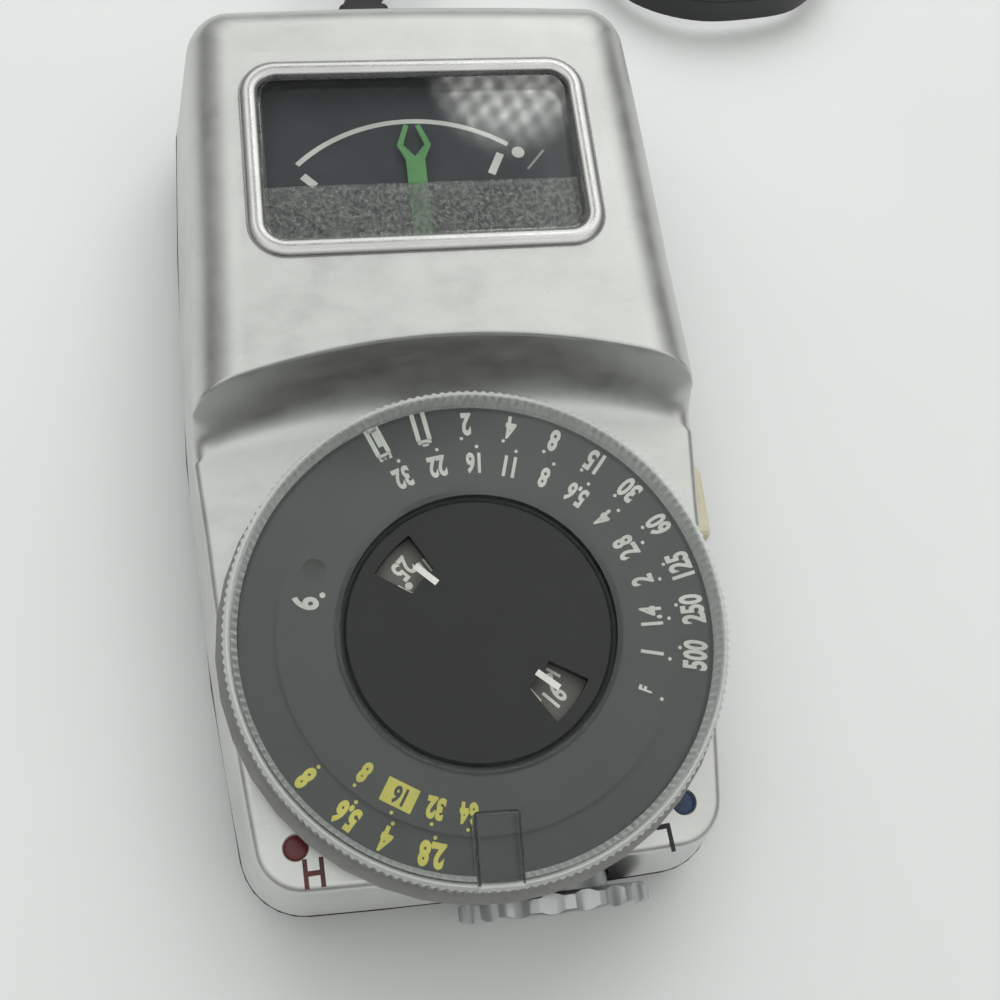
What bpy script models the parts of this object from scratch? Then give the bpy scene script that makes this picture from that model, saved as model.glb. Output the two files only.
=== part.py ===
# Hand-held light meter: a drafted metal case with a raised meter housing, a calculator dial on the
# lower plateau, a fluted range ring on the front end and a wrist strap on the top end.
# Metres, +Z up. The origin is the middle of the rear rest face; +Y points to the strap end.
import math

import bmesh
import bpy
from mathutils import Matrix, Vector

for old in list(bpy.data.objects):
    bpy.data.objects.remove(old, do_unlink=True)

MM = 0.001

# driving sizes
gap = 0.3 * MM          # clearance between neighbouring pieces
slip = 0.2 * MM         # radial clearance of a close fit
overrun = 2.0 * MM      # how far a cutter runs past what it cuts
sink = 0.6 * MM         # how far a boss is rooted in the wall that carries it

body = {
    "length": 110.4 * MM,
    "half_width": 31.4 * MM,
    "widest_y": 12.0 * MM,
    "top_draw": 0.93 * MM,
    "front_draw": 5.2 * MM,
    "end_bow": 0.9 * MM,
    "front_corner": 7.5 * MM,
    "top_corner": 8.5 * MM,
    "seam_z": 9.0 * MM,
    "plateau_z": 20.5 * MM,
    "housing_z": 30.5 * MM,
    "housing_fall": 0.5 * MM,
    "wall": 1.4 * MM,
    "plateau_fillet": 1.0 * MM,
    "side_fillet": 6.25 * MM,
    "end_fillet": 5.0 * MM,
    "least_fillet": 0.3 * MM,
    "cove_run": 4.3 * MM,
    "lip_sag": 3.2 * MM,
    "lip_sag_at": 22.0 * MM,
}
draft_share = 0.194      # side inset for each unit of height
housing_share = 0.46014  # the meter housing's part of the length
cove_steps = 5
fillet_steps = 4
inner_steps = 2
corner_steps = 3

rear = {
    "proud": 0.15 * MM,
    "wall": 1.35 * MM,
    "floor": 1.6 * MM,
    "fillet": 3.5 * MM,
}
rear_draft_share = 0.04

window = {
    "x": -0.65 * MM,
    "side_margin": 12.3 * MM,
    "lip_margin": 12.2 * MM,
    "end_margin": 15.6 * MM,
    "corner": 2.8 * MM,
    "bead_width": 1.8 * MM,
    "bead_rise": 0.8 * MM,
    "flange": 1.3 * MM,
    "flange_thick": 0.5 * MM,
    "depth": 2.5 * MM,
    "rise": 0.25 * MM,
    "edge": 0.5 * MM,
}
strip = {
    "thick": 0.3 * MM,
    "height": 8.6 * MM,
    "inset": 0.6 * MM,
}
scale = {
    "depth": 4.0 * MM,
    "thick": 0.6 * MM,
    "side_margin": 6.5 * MM,
    "below_staff": 2.8 * MM,
    "above_window": 3.0 * MM,
    "corner": 2.0 * MM,
    "screw_inset": 1.7 * MM,
    "boss_r": 1.5 * MM,
    "screw_r": 0.7 * MM,
    "head_r": 1.4 * MM,
    "head_thick": 0.7 * MM,
}
needle = {
    "x": -1.3 * MM,
    "below_window": 2.0 * MM,
    "end_margin": 5.2 * MM,
    "half_width": 1.15 * MM,
    "shoulder": 1.9 * MM,
    "point": 2.9 * MM,
    "wide_half": 2.2 * MM,
    "frame": 0.6 * MM,
    "thick": 0.3 * MM,
    "hub_r": 1.8 * MM,
    "tail": 5.5 * MM,
    "tail_half": 1.5 * MM,
    "staff_r": 0.4 * MM,
}
movement = {
    "yoke_outer": 10.5 * MM,
    "yoke_bore": 7.2 * MM,
    "yoke_thick": 5.0 * MM,
    "core_r": 5.0 * MM,
    "core_thick": 2.4 * MM,
    "ear_half": 1.2 * MM,
    "ear_thick": 0.9 * MM,
    "coil_inner": 5.4 * MM,
    "coil_bar": 1.2 * MM,
    "coil_bar_z": 0.6 * MM,
    "coil_depth": 2.4 * MM,
    "bridge_half": 2.2 * MM,
    "bridge_reach": 8.2 * MM,
    "bridge_thick": 0.7 * MM,
}
chassis = {
    "z": 12.0 * MM,
    "thick": 1.0 * MM,
    "side_margin": 13.7 * MM,
    "front_margin": 13.0 * MM,
    "end_margin": 6.0 * MM,
    "corner": 2.0 * MM,
    "side_screw_inset": 4.2 * MM,
    "side_screw_back": 9.9 * MM,
    "end_screw_inset": 3.0 * MM,
    "boss_r": 2.2 * MM,
    "screw_r": 1.0 * MM,
    "head_r": 2.0 * MM,
    "head_thick": 1.2 * MM,
    "bite": 5.0 * MM,
}
board = {
    "thick": 1.2 * MM,
    "side_inset": 0.5 * MM,
    "screw_room": 3.9 * MM,
    "part_gap": 0.3 * MM,
    "resistor_r": 1.1 * MM,
    "resistor_length": 6.0 * MM,
    "lead_r": 0.35 * MM,
    "lead": 1.6 * MM,
    "first_inset": 5.7 * MM,
    "first_back": 3.6 * MM,
    "second_inset": 5.2 * MM,
    "second_up": 2.0 * MM,
    "trimmer_back": 4.0 * MM,
    "trimmer_r": 3.0 * MM,
    "trimmer_thick": 2.2 * MM,
    "slot_half": 0.5 * MM,
    "slot_depth": 0.7 * MM,
}
dial = {
    "side_margin": 4.8 * MM,
    "front_margin": 0.2 * MM,
    "lip_margin": 6.2 * MM,
    "lift": 0.7 * MM,
    "floor": 1.4 * MM,
    "lip_proud": 1.1 * MM,
    "lip_z": 22.8 * MM,
    "lip_thick": 0.9 * MM,
    "wall": 1.9 * MM,
    "hub_outer": 5.0 * MM,
    "hub_bore": 2.7 * MM,
    "hub_low": 16.2 * MM,
    "hub_hole": 5.4 * MM,
    "disc_low": 25.2 * MM,
    "disc_thick": 0.8 * MM,
    "disc_ease": 0.25 * MM,
    "inner_inset": 5.4 * MM,
    "inner_thick": 0.3 * MM,
    "mark_r": 1.2 * MM,
    "mark_out": 0.35 * MM,
}
mark_angle = 155.0
clear = {
    "bead": 0.25 * MM,
    "skirt_wall": 0.85 * MM,
    "snap_grip": 0.3 * MM,
    "snap_thick": 0.7 * MM,
    "plate_thick": 1.7 * MM,
    "rim_rise": 0.7 * MM,
    "rim_width": 1.9 * MM,
    "plate_width": 12.0 * MM,
    "bore_chamfer": 0.5 * MM,
    "tab_half": 2.6 * MM,
    "tab_length": 9.0 * MM,
    "tab_proud": 0.6 * MM,
    "tab_rise": 1.9 * MM,
}
tab_angle = 266.5
bead_count = 120
centre = {
    "top": 27.2 * MM,
    "flange_lap": 0.4 * MM,
    "flange_thick": 0.6 * MM,
    "chamfer": 0.3 * MM,
    "window_inset": 1.7 * MM,
    "window_deep": 4.6 * MM,
    "pin_r": 1.5 * MM,
    "stem_r": 2.4 * MM,
    "foot_r": 4.0 * MM,
    "foot_thick": 0.8 * MM,
    "roof": 0.5 * MM,
    "speed_inset": 0.7 * MM,
    "speed_thick": 0.5 * MM,
    "disc_ease": 0.5 * MM,
}
window_angles = (134.0, 316.0)
window_spread = 26.0
track_share = 0.4887     # radius of the resistance track as a part of the dial's radius
track = {
    "width": 3.5 * MM,
    "thick": 0.4 * MM,
    "arm_outer": 7.2 * MM,
    "arm_half": 2.0 * MM,
    "arm_inset": 0.4 * MM,
    "arm_low": 16.4 * MM,
    "arm_thick": 1.0 * MM,
    "tip_r": 0.8 * MM,
}
ring = {
    "x": 6.6 * MM,
    "z": 12.0 * MM,
    "r": 10.6 * MM,
    "flute": 0.55 * MM,
    "thick": 2.2 * MM,
    "stand": 0.4 * MM,
    "edge": 0.4 * MM,
    "bore": 7.4 * MM,
    "sleeve_outer": 6.2 * MM,
    "sleeve_bore": 5.2 * MM,
    "sleeve_length": 6.6 * MM,
    "lens_r": 4.9 * MM,
    "lens_thick": 1.6 * MM,
    "lens_dome": 0.8 * MM,
    "mask_thick": 0.5 * MM,
    "mask_r": 5.8 * MM,
    "mask_hole": 1.6 * MM,
    "mask_hole_at": 2.6 * MM,
    "tube_outer": 6.8 * MM,
    "tube_length": 3.5 * MM,
    "tube_wall": 1.2 * MM,
    "cell_thick": 2.0 * MM,
}
flute_count = 18
dot = {
    "side_margin": 10.6 * MM,
    "front_margin": 7.1 * MM,
    "r": 1.3 * MM,
    "depth": 0.7 * MM,
    "thick": 0.4 * MM,
    "ease": 0.1 * MM,
}
button = {
    "lip_back": 16.4 * MM,
    "z": 12.0 * MM,
    "length": 10.0 * MM,
    "height": 4.6 * MM,
    "proud": 1.5 * MM,
    "round": 1.6 * MM,
    "flange": 1.1 * MM,
    "flange_thick": 1.0 * MM,
    "travel": 1.2 * MM,
    "post_r": 0.8 * MM,
    "post": 0.9 * MM,
    "post_y": 0.6 * MM,
    "spring_y": -3.0 * MM,
    "spring_r": 1.5 * MM,
    "wire_r": 0.2 * MM,
    "block_half_z": 3.0 * MM,
    "block_from": -6.5 * MM,
    "arm_from": 4.0 * MM,
    "arm_to": 7.0 * MM,
    "leaf_thick": 0.25 * MM,
    "leaf_length": 4.4 * MM,
    "leaf_half_z": 1.5 * MM,
    "leaf_space": 1.0 * MM,
    "spring_room": 4.2 * MM,
}
spring_turns = 4
battery = {
    "end_margin": 15.2 * MM,
    "r": 7.9 * MM,
    "shoulder_r": 6.6 * MM,
    "thick": 6.0 * MM,
    "low": 3.4 * MM,
    "shoulder": 1.2 * MM,
    "well_bore": 10.2 * MM,
    "well_wall": 1.2 * MM,
    "well_top": 8.0 * MM,
    "cap_r": 8.7 * MM,
    "cap_hole": 9.0 * MM,
    "cap_low": 0.3 * MM,
    "cap_thick": 1.4 * MM,
    "ear_r": 9.8 * MM,
    "ear_half": 1.6 * MM,
    "ear_thick": 0.8 * MM,
    "notch_r": 10.1 * MM,
    "slot_half": 0.7 * MM,
    "slot_reach": 6.0 * MM,
    "slot_depth": 0.6 * MM,
    "coil_wide": 5.6 * MM,
    "coil_small": 3.6 * MM,
    "contact_half": 2.5 * MM,
    "contact_thick": 0.4 * MM,
    "contact_from": -12.0 * MM,
    "contact_bend": -8.0 * MM,
    "contact_land": -3.0 * MM,
    "contact_to": 3.0 * MM,
}
zero = {
    "head_r": 2.1 * MM,
    "head_thick": 0.8 * MM,
    "low": 0.3 * MM,
    "shank_r": 1.4 * MM,
    "boss_r": 3.0 * MM,
    "boss_top": 4.5 * MM,
    "slot_half": 0.3 * MM,
    "slot_depth": 0.4 * MM,
    "pin_r": 0.45 * MM,
    "pin_off": 0.7 * MM,
}
fastener = {
    "top_side": 8.9 * MM,
    "top_margin": 9.9 * MM,
    "front_side": 10.1 * MM,
    "front_margin": 8.9 * MM,
    "boss_r": 2.4 * MM,
    "pillar_r": 3.1 * MM,
    "head_r": 2.3 * MM,
    "head_thick": 1.2 * MM,
    "low": 0.3 * MM,
    "shank_r": 1.0 * MM,
    "reach": 14.5 * MM,
    "slot_half": 0.35 * MM,
    "slot_depth": 0.5 * MM,
}
strap = {
    "x": -4.4 * MM,
    "z": 12.0 * MM,
    "width": 4.6 * MM,
    "thick": 1.0 * MM,
    "lug_thick": 1.2 * MM,
    "lug_half": 4.4 * MM,
    "lug_head": 2.8 * MM,
    "lug_reach": 4.6 * MM,
    "lug_slot": 2.7 * MM,
    "lug_bar": 2.0 * MM,
    "head_deep": 2.2 * MM,
    "leg_rise": 2.45 * MM,
    "leg_reach": 7.4 * MM,
    "keeper_out": 4.9 * MM,
    "keeper_long": 2.2 * MM,
    "keeper_wall": 0.8 * MM,
}

# route of the free strap, in millimetres, with y measured from the strap end of the case: out of the
# keeper's upper leg, round behind the top end, back along the right-hand bend and into the lower leg
strap_route_mm = [
    (-4.4, 7.7, 14.4), (-4.4, 12.3, 14.4), (-5.6, 18.8, 13.0), (-7.6, 26.3, 9.2), (-6.8, 34.8, 5.2),
    (-0.6, 41.4, 2.9), (9.0, 43.7, 2.6), (24.0, 43.7, 2.6), (36.0, 43.7, 2.6), (48.0, 43.7, 2.6),
    (58.6, 43.4, 2.6), (65.4, 41.6, 2.6), (70.3, 36.7, 2.7), (72.1, 29.9, 2.9), (70.3, 23.1, 3.2),
    (65.4, 18.2, 3.6), (58.6, 16.2, 4.0), (48.5, 15.7, 4.2), (39.8, 19.4, 3.6), (33.6, 26.8, 2.9),
    (26.8, 33.6, 2.6), (17.0, 35.6, 2.9), (8.4, 31.6, 4.2), (3.0, 24.6, 6.3), (-1.2, 18.0, 8.6),
    (-4.4, 12.3, 9.55), (-4.4, 7.7, 9.55),
]

# sizes and places that follow from the case and its margins
half_length = body["length"] / 2
body["lip_y"] = half_length - housing_share * body["length"]

window["half_x"] = body["half_width"] - window["side_margin"]
window["underside"] = body["housing_z"] - window["depth"]
window["low_y"] = body["lip_y"] + window["lip_margin"]
window["high_y"] = half_length - window["end_margin"]
window["y"] = (window["low_y"] + window["high_y"]) / 2
window["half_y"] = (window["high_y"] - window["low_y"]) / 2
strip["top_y"] = window["low_y"] + strip["height"]

needle["y"] = window["low_y"] - needle["below_window"]
needle["tip_reach"] = window["high_y"] - needle["end_margin"] - needle["y"]
needle["wide_reach"] = needle["tip_reach"] - needle["point"]
needle["neck_reach"] = needle["wide_reach"] - needle["shoulder"]

scale["half_x"] = body["half_width"] - scale["side_margin"]
scale["top"] = body["housing_z"] - scale["depth"]
scale["low_y"] = needle["y"] - scale["below_staff"]
scale["high_y"] = window["high_y"] + scale["above_window"]
scale["screw_x"] = scale["half_x"] - scale["screw_inset"]
scale["screw_y"] = (scale["low_y"] + scale["high_y"]) / 2

chassis["half_x"] = body["half_width"] - chassis["side_margin"]
chassis["low_y"] = chassis["front_margin"] - half_length
chassis["high_y"] = half_length - chassis["end_margin"]
chassis["side_screw_x"] = chassis["half_x"] - chassis["side_screw_inset"]
chassis["side_screw_y"] = body["lip_y"] - chassis["side_screw_back"]
chassis["end_screw_y"] = chassis["high_y"] - chassis["end_screw_inset"]

board["half_x"] = chassis["half_x"] - board["side_inset"]
board["high_y"] = chassis["side_screw_y"] - board["screw_room"]
board["first_x"] = board["half_x"] - board["first_inset"]
board["first_y"] = board["high_y"] - board["first_back"]
board["second_x"] = board["second_inset"] - board["half_x"]
board["second_y"] = chassis["low_y"] + board["second_up"]
board["trimmer_x"] = board["second_x"]
board["trimmer_y"] = board["high_y"] - board["trimmer_back"]

# the dial fills the plateau: it takes the room across or the room along, whichever is less
plateau_front = dial["front_margin"] - half_length
plateau_back = body["lip_y"] - dial["lip_margin"]
clear["outer"] = min(body["half_width"] - dial["side_margin"], (plateau_back - plateau_front) / 2)
dial["y"] = (plateau_front + plateau_back) / 2
dial["lip_r"] = clear["outer"] + dial["lip_proud"]
clear["skirt_inner"] = clear["outer"] - clear["skirt_wall"]
dial["disc_r"] = clear["skirt_inner"] - dial["disc_ease"]
clear["snap_inner"] = dial["disc_r"] - clear["snap_grip"]
dial["wall_outer"] = clear["snap_inner"] - gap
dial["wall_inner"] = dial["wall_outer"] - dial["wall"]
clear["bore"] = clear["outer"] - clear["plate_width"]
clear["tab_to"] = clear["outer"] + clear["tab_proud"]
clear["tab_from"] = clear["tab_to"] - clear["tab_length"]
centre["r"] = clear["bore"] - gap
centre["flange_r"] = clear["bore"] + centre["flange_lap"]
centre["window_to"] = centre["r"] - centre["window_inset"]
centre["window_from"] = centre["window_to"] - centre["window_deep"]
centre["speed_r"] = clear["bore"] - centre["speed_inset"]
dial["disc_bore"] = centre["speed_r"] + centre["disc_ease"]
dial["inner_bore"] = centre["flange_r"] + gap
dial["inner_r"] = clear["outer"] - dial["inner_inset"]
dial["mark_at"] = (dial["inner_bore"] + dial["inner_r"]) / 2 + dial["mark_out"]

track["outer"] = clear["outer"] * track_share
track["inner"] = track["outer"] - track["width"]
track["arm_reach"] = track["outer"] - track["arm_inset"]
track["tip_at"] = (track["inner"] + track["outer"]) / 2

dot["x"] = body["half_width"] - dot["side_margin"]
dot["y"] = dot["front_margin"] - half_length
button["y"] = body["lip_y"] - button["lip_back"]
button["block_low_x"] = chassis["half_x"] + gap
battery["y"] = half_length - battery["end_margin"]
fastener["top_x"] = body["half_width"] - fastener["top_side"]
fastener["top_y"] = half_length - fastener["top_margin"]
fastener["front_x"] = body["half_width"] - fastener["front_side"]
fastener["front_y"] = fastener["front_margin"] - half_length
strap["leg_end"] = half_length + strap["leg_reach"]
strap["keeper_y"] = half_length + strap["keeper_out"]


# colours
def material(name, colour, roughness, metallic=0.0, alpha=1.0):
    made = bpy.data.materials.new(name)
    made.use_nodes = True
    shader = made.node_tree.nodes["Principled BSDF"]
    shader.inputs["Base Color"].default_value = (*colour, 1.0)
    shader.inputs["Roughness"].default_value = roughness
    shader.inputs["Metallic"].default_value = metallic
    shader.inputs["Alpha"].default_value = alpha
    made.diffuse_color = (*colour, alpha)
    return made


SILVER = ((0.62, 0.64, 0.66), 0.38, 0.9)
STEEL = ((0.55, 0.56, 0.58), 0.3, 1.0)
BRASS = ((0.66, 0.5, 0.24), 0.32, 1.0)
BLACK = ((0.02, 0.02, 0.022), 0.45, 0.0)
DARK = ((0.05, 0.056, 0.058), 0.5, 0.0)
CLEAR = ((0.8, 0.83, 0.82), 0.06, 0.0)
GREEN = ((0.1, 0.42, 0.16), 0.5, 0.0)


# shared shaping
def put(name, bm, look, at=(0, 0, 0), parent=None, smooth=True):
    bmesh.ops.recalc_face_normals(bm, faces=bm.faces[:])
    mesh = bpy.data.meshes.new(name)
    bm.to_mesh(mesh)
    bm.free()
    if smooth:
        mesh.shade_smooth()
        mesh.set_sharp_from_angle(angle=math.radians(32))
    made = bpy.data.objects.new(name, mesh)
    bpy.context.collection.objects.link(made)
    made.location = at
    if look is not None:
        mesh.materials.append(material(name, look[0], look[1], look[2]))
    if parent is not None:
        made.parent = parent
    return made


def axis_empty(name, at):
    made = bpy.data.objects.new(name, None)
    bpy.context.collection.objects.link(made)
    made.location = at
    made.empty_display_size = body["wall"]
    return made


def turned(profile, steps, closed=True):
    # a profile of (radius, height) points spun about Z; a closed profile makes a ring
    bm = bmesh.new()
    points = [bm.verts.new((radius, 0, height)) for radius, height in profile]
    edges = [bm.edges.new(pair) for pair in zip(points[:-1], points[1:])]
    if closed:
        edges.append(bm.edges.new((points[-1], points[0])))
    bmesh.ops.spin(bm, geom=points + edges, cent=(0, 0, 0), axis=(0, 0, 1), dvec=(0, 0, 0),
                   angle=math.tau, steps=steps, use_merge=True)
    bmesh.ops.remove_doubles(bm, verts=bm.verts[:], dist=slip * 0.01)
    return bm


def disc(radius, low, high, steps=24, chamfer=0.0):
    if chamfer:
        profile = [(0, high), (radius - chamfer, high), (radius, high - chamfer), (radius, low), (0, low)]
    else:
        profile = [(0, high), (radius, high), (radius, low), (0, low)]
    return turned(profile, steps, closed=False)


def washer(inner, outer, low, high, steps=32):
    return turned([(inner, high), (outer, high), (outer, low), (inner, low)], steps)


def loft(loops, ring=False):
    # faces between loops of equal length; a ring joins the last loop to the first, otherwise ends are capped
    bm = bmesh.new()
    rows = [[bm.verts.new(point) for point in loop] for loop in loops]
    count = len(rows[0])
    pairs = list(zip(rows[:-1], rows[1:]))
    if ring:
        pairs.append((rows[-1], rows[0]))
    for lower, upper in pairs:
        for i in range(count):
            j = (i + 1) % count
            bm.faces.new((lower[i], lower[j], upper[j], upper[i]))
    if not ring:
        bm.faces.new(rows[0][::-1])
        bm.faces.new(rows[-1])
    return bm


def prism(outline, low, high):
    # a flat outline raised from low to high
    bm = bmesh.new()
    face = bm.faces.new([bm.verts.new((x, y, low)) for x, y in outline])
    grown = bmesh.ops.extrude_face_region(bm, geom=[face])
    tops = [item for item in grown["geom"] if isinstance(item, bmesh.types.BMVert)]
    bmesh.ops.translate(bm, verts=tops, vec=(0, 0, high - low))
    return bm


def rounded(half_x, half_y, radius, steps=4, x=0.0, y=0.0):
    points = []
    for corner, (sign_x, sign_y) in enumerate(((1, 1), (-1, 1), (-1, -1), (1, -1))):
        for step in range(steps + 1):
            turn = math.radians(90.0 * (corner + step / steps))
            points.append((x + sign_x * (half_x - radius) + radius * math.cos(turn),
                           y + sign_y * (half_y - radius) + radius * math.sin(turn)))
    return points


def circle(radius, steps, x=0.0, y=0.0):
    return [(x + radius * math.cos(math.tau * i / steps), y + radius * math.sin(math.tau * i / steps))
            for i in range(steps)]


def block(low, high):
    return prism([(low[0], low[1]), (high[0], low[1]), (high[0], high[1]), (low[0], high[1])],
                 low[2], high[2])


def turn_to_y(bm, at):
    # stands a piece modelled about +Z on its side, with its top toward the front end
    bmesh.ops.rotate(bm, verts=bm.verts[:], cent=(0, 0, 0), matrix=Matrix.Rotation(math.radians(90), 3, "X"))
    bmesh.ops.translate(bm, verts=bm.verts[:], vec=at)
    return bm


def boolean(target, name, bm, operation, at=(0, 0, 0)):
    tool = put(name, bm, None, at, smooth=False)
    tool.hide_render = True
    tool.display_type = "WIRE"
    change = target.modifiers.new(name, "BOOLEAN")
    change.operation = operation
    change.solver = "EXACT"
    change.object = tool
    return tool


def cut(target, name, bm, at=(0, 0, 0)):
    return boolean(target, "cut_" + name, bm, "DIFFERENCE", at)


def join(target, name, bm, at=(0, 0, 0)):
    return boolean(target, "join_" + name, bm, "UNION", at)


# plan outline of the case
def side_x(y):
    # half width at y, and its slope
    lead = y - body["widest_y"]
    if lead > 0:
        reach = half_length - body["widest_y"]
        draw = body["top_draw"]
    else:
        reach = half_length + body["widest_y"]
        draw = body["front_draw"]
    share = lead / reach
    return body["half_width"] - draw * share ** 2, -2 * draw * share / reach


def end_y(x):
    # distance of the end edges from the middle at x, and its slope
    share = x / body["half_width"]
    return half_length - body["end_bow"] * share ** 2, -2 * body["end_bow"] * share / body["half_width"]


def corner_frame(sign_y, radius):
    # centre of a plan corner arc on the +X side and the angles of its two tangent points
    cx = body["half_width"] - radius
    cy = sign_y * (half_length - radius)
    for _ in range(60):
        width, slope = side_x(cy)
        side = Vector((1, -slope)).normalized()
        width, slope = side_x(cy + radius * side.y)
        side = Vector((1, -slope)).normalized()
        reach, slope = end_y(cx)
        end = Vector((-slope, 1)).normalized()
        reach, slope = end_y(cx + radius * end.x)
        end = Vector((-slope, 1)).normalized()
        cx = width - radius * side.x
        cy = sign_y * (reach - radius * end.y)
    first = math.atan2(side.y, side.x)
    last = math.atan2(sign_y * end.y, end.x)
    return cx, cy, first, last


def corner_point(sign_x, sign_y, share, radius, inset):
    # share 0 is the tangent point on the side, 1 the one on the end edge
    cx, cy, first, last = corners[sign_y]
    turn = first + (last - first) * share
    least = body["least_fillet"]
    left = max(radius - inset, least)
    shift = max(0.0, inset - (radius - least))
    x = cx - shift + left * math.cos(turn)
    y = cy - sign_y * shift + left * math.sin(turn)
    return sign_x * x, y


corner_radii = {1: body["top_corner"], -1: body["front_corner"]}
corners = {sign: corner_frame(sign, radius) for sign, radius in corner_radii.items()}


def side_point(sign_x, row_y, sag, inset):
    middle, _ = side_x(row_y)
    y = row_y - sag * (middle - inset) ** 2
    width, slope = side_x(y)
    return sign_x * (width - inset * math.hypot(1, slope)), y


def end_point(sign_y, share, inset):
    # share runs from -1 to 1 between the two corner arcs
    radius = corner_radii[sign_y]
    cx, cy, first, last = corners[sign_y]
    shift = max(0.0, inset - (radius - body["least_fillet"]))
    left = max(radius - inset, body["least_fillet"])
    x = share * (cx - shift + left * math.cos(last))
    reach, slope = end_y(x)
    return x, sign_y * (reach - inset * math.hypot(1, slope))


# the case shell
lip_curve = body["lip_sag"] / body["lip_sag_at"] ** 2
edge_shares = (0.62, 0.0, -0.62)
plateau_shares = (0.1, 0.35, 0.6, 0.82)
housing_shares = (0.1, 0.35, 0.62, 0.88)


def shell_rows(inner):
    # rows across the top of the shell, front to strap end: (kind, place, sag, height, fillet)
    wall = body["wall"] if inner else 0.0
    low = body["plateau_z"] - body["seam_z"]
    high = body["housing_z"] - body["seam_z"]
    small = body["plateau_fillet"]
    large = body["side_fillet"]
    front_y = corners[-1][1]
    top_y = corners[1][1]
    rows = [("corner", -1, 0.5 - 0.5 * step / corner_steps, 0.0, low, small)
            for step in range(corner_steps + 1)]
    foot = body["lip_y"] - body["cove_run"]
    for share in plateau_shares:
        rows.append(("side", front_y + (foot - front_y) * share, lip_curve * share, low, small))
    run = body["cove_run"] + wall
    for step in range(cove_steps + 1):
        turn = math.radians(90.0 * step / cove_steps)
        rise = 1 - math.cos(turn)
        rows.append(("side", foot + run * math.sin(turn), lip_curve, low + (high - low) * rise,
                     small + (large - small) * rise))
    start = foot + run
    for share in housing_shares:
        y = start + (top_y - start) * share
        fall = body["housing_fall"] * (y - start) / (half_length - start)
        rows.append(("side", y, lip_curve * (1 - share) ** 2, high - fall, large))
    fall = body["housing_fall"]
    for step in range(corner_steps + 1):
        share = 0.5 * step / corner_steps
        rows.append(("corner", 1, share, 0.0, high - fall,
                     large + (body["end_fillet"] - large) * share))
    return rows


plain_shares = (0.2, 0.5, 0.8)


def shell_skin(bm, rows, inset, seam, up, draft, roof, thin, steps):
    # one skin of the shell: a grid on top whose border runs down the fillet and the drafted wall
    # returns the loop of vertices at the seam
    turn0 = math.atan(draft)

    def station(row, sign_x):
        kind = row[0]
        height, fillet = row[-2] - roof, max(row[-1] - thin, body["least_fillet"])
        if kind == "corner":
            _, sign_y, share, _, _, _ = row
            return (lambda d: corner_point(sign_x, sign_y, share, corner_radii[sign_y], d)), height, fillet
        _, y, sag, _, _ = row
        return (lambda d: side_point(sign_x, y, sag, d)), height, fillet

    def end_stations(sign_y, row):
        height = row[-2] - roof
        found = []
        wide = row[-1] if sign_y < 0 or row[-1] == rows[0][-1] else body["end_fillet"]
        for step in range(corner_steps - 1, -1, -1):
            share = 1 - 0.5 * step / corner_steps
            blend = row[-1] + (wide - row[-1]) * (2 * share - 1)
            fillet = max(blend - thin, body["least_fillet"])
            found.append((lambda d, s=share: corner_point(-1, sign_y, s, corner_radii[sign_y], d),
                          height, fillet))
        fillet = max(wide - thin, body["least_fillet"])
        for share in edge_shares:
            found.append((lambda d, s=-share: end_point(sign_y, s, d), height, fillet))
        for step in range(corner_steps):
            share = 1 - 0.5 * step / corner_steps
            blend = row[-1] + (wide - row[-1]) * (2 * share - 1)
            fillet = max(blend - thin, body["least_fillet"])
            found.append((lambda d, s=share: corner_point(1, sign_y, s, corner_radii[sign_y], d),
                          height, fillet))
        return found

    front = end_stations(-1, rows[0])
    back = end_stations(1, rows[-1])
    left = [station(row, -1) for row in rows]
    right = [station(row, 1) for row in rows]
    loop = [left[0]] + front + right + back[::-1] + [left[-1]] + left[1:-1][::-1]

    def place(item, level):
        spot, height, fillet = item
        if level == 0:
            x, y = spot(inset)
            return x, y, seam
        turn = turn0 + (math.pi / 2 - turn0) * (level - 1) / steps
        middle = height - fillet
        start = middle + fillet * math.sin(turn0)
        back_in = inset + draft * start + fillet * math.cos(turn0)
        x, y = spot(back_in - fillet * math.cos(turn))
        return x, y, seam + up * (middle + fillet * math.sin(turn))

    levels = [[bm.verts.new(place(item, level)) for item in loop] for level in range(steps + 2)]
    count = len(loop)
    for lower, upper in zip(levels[:-1], levels[1:]):
        for i in range(count):
            j = (i + 1) % count
            bm.faces.new((lower[i], lower[j], upper[j], upper[i]))
    rim = levels[-1]
    across = len(front) + 1
    deep = len(rows) - 1
    grid = [[None] * (across + 1) for _ in range(deep + 1)]
    for c in range(across + 1):
        grid[0][c] = rim[c]
        grid[deep][c] = rim[across + deep + (across - c)]
    for r in range(1, deep):
        grid[r][across] = rim[across + r]
        grid[r][0] = rim[count - r]
    for r in range(1, deep):
        row = rows[r]
        first, last = grid[r][0].co, grid[r][across].co
        sag = row[2] if row[0] == "side" else 0.0
        blend = r / deep
        for c in range(1, across):
            near = (grid[0][c].co.x - grid[0][0].co.x) / (grid[0][across].co.x - grid[0][0].co.x)
            far = (grid[deep][c].co.x - grid[deep][0].co.x) / (grid[deep][across].co.x - grid[deep][0].co.x)
            share = near + (far - near) * blend
            x = first.x + (last.x - first.x) * share
            grid[r][c] = bm.verts.new((x, first.y + sag * (first.x ** 2 - x ** 2), first.z))
    for r in range(deep):
        for c in range(across):
            bm.faces.new((grid[r][c], grid[r][c + 1], grid[r + 1][c + 1], grid[r + 1][c]))
    return levels[0]


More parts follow.
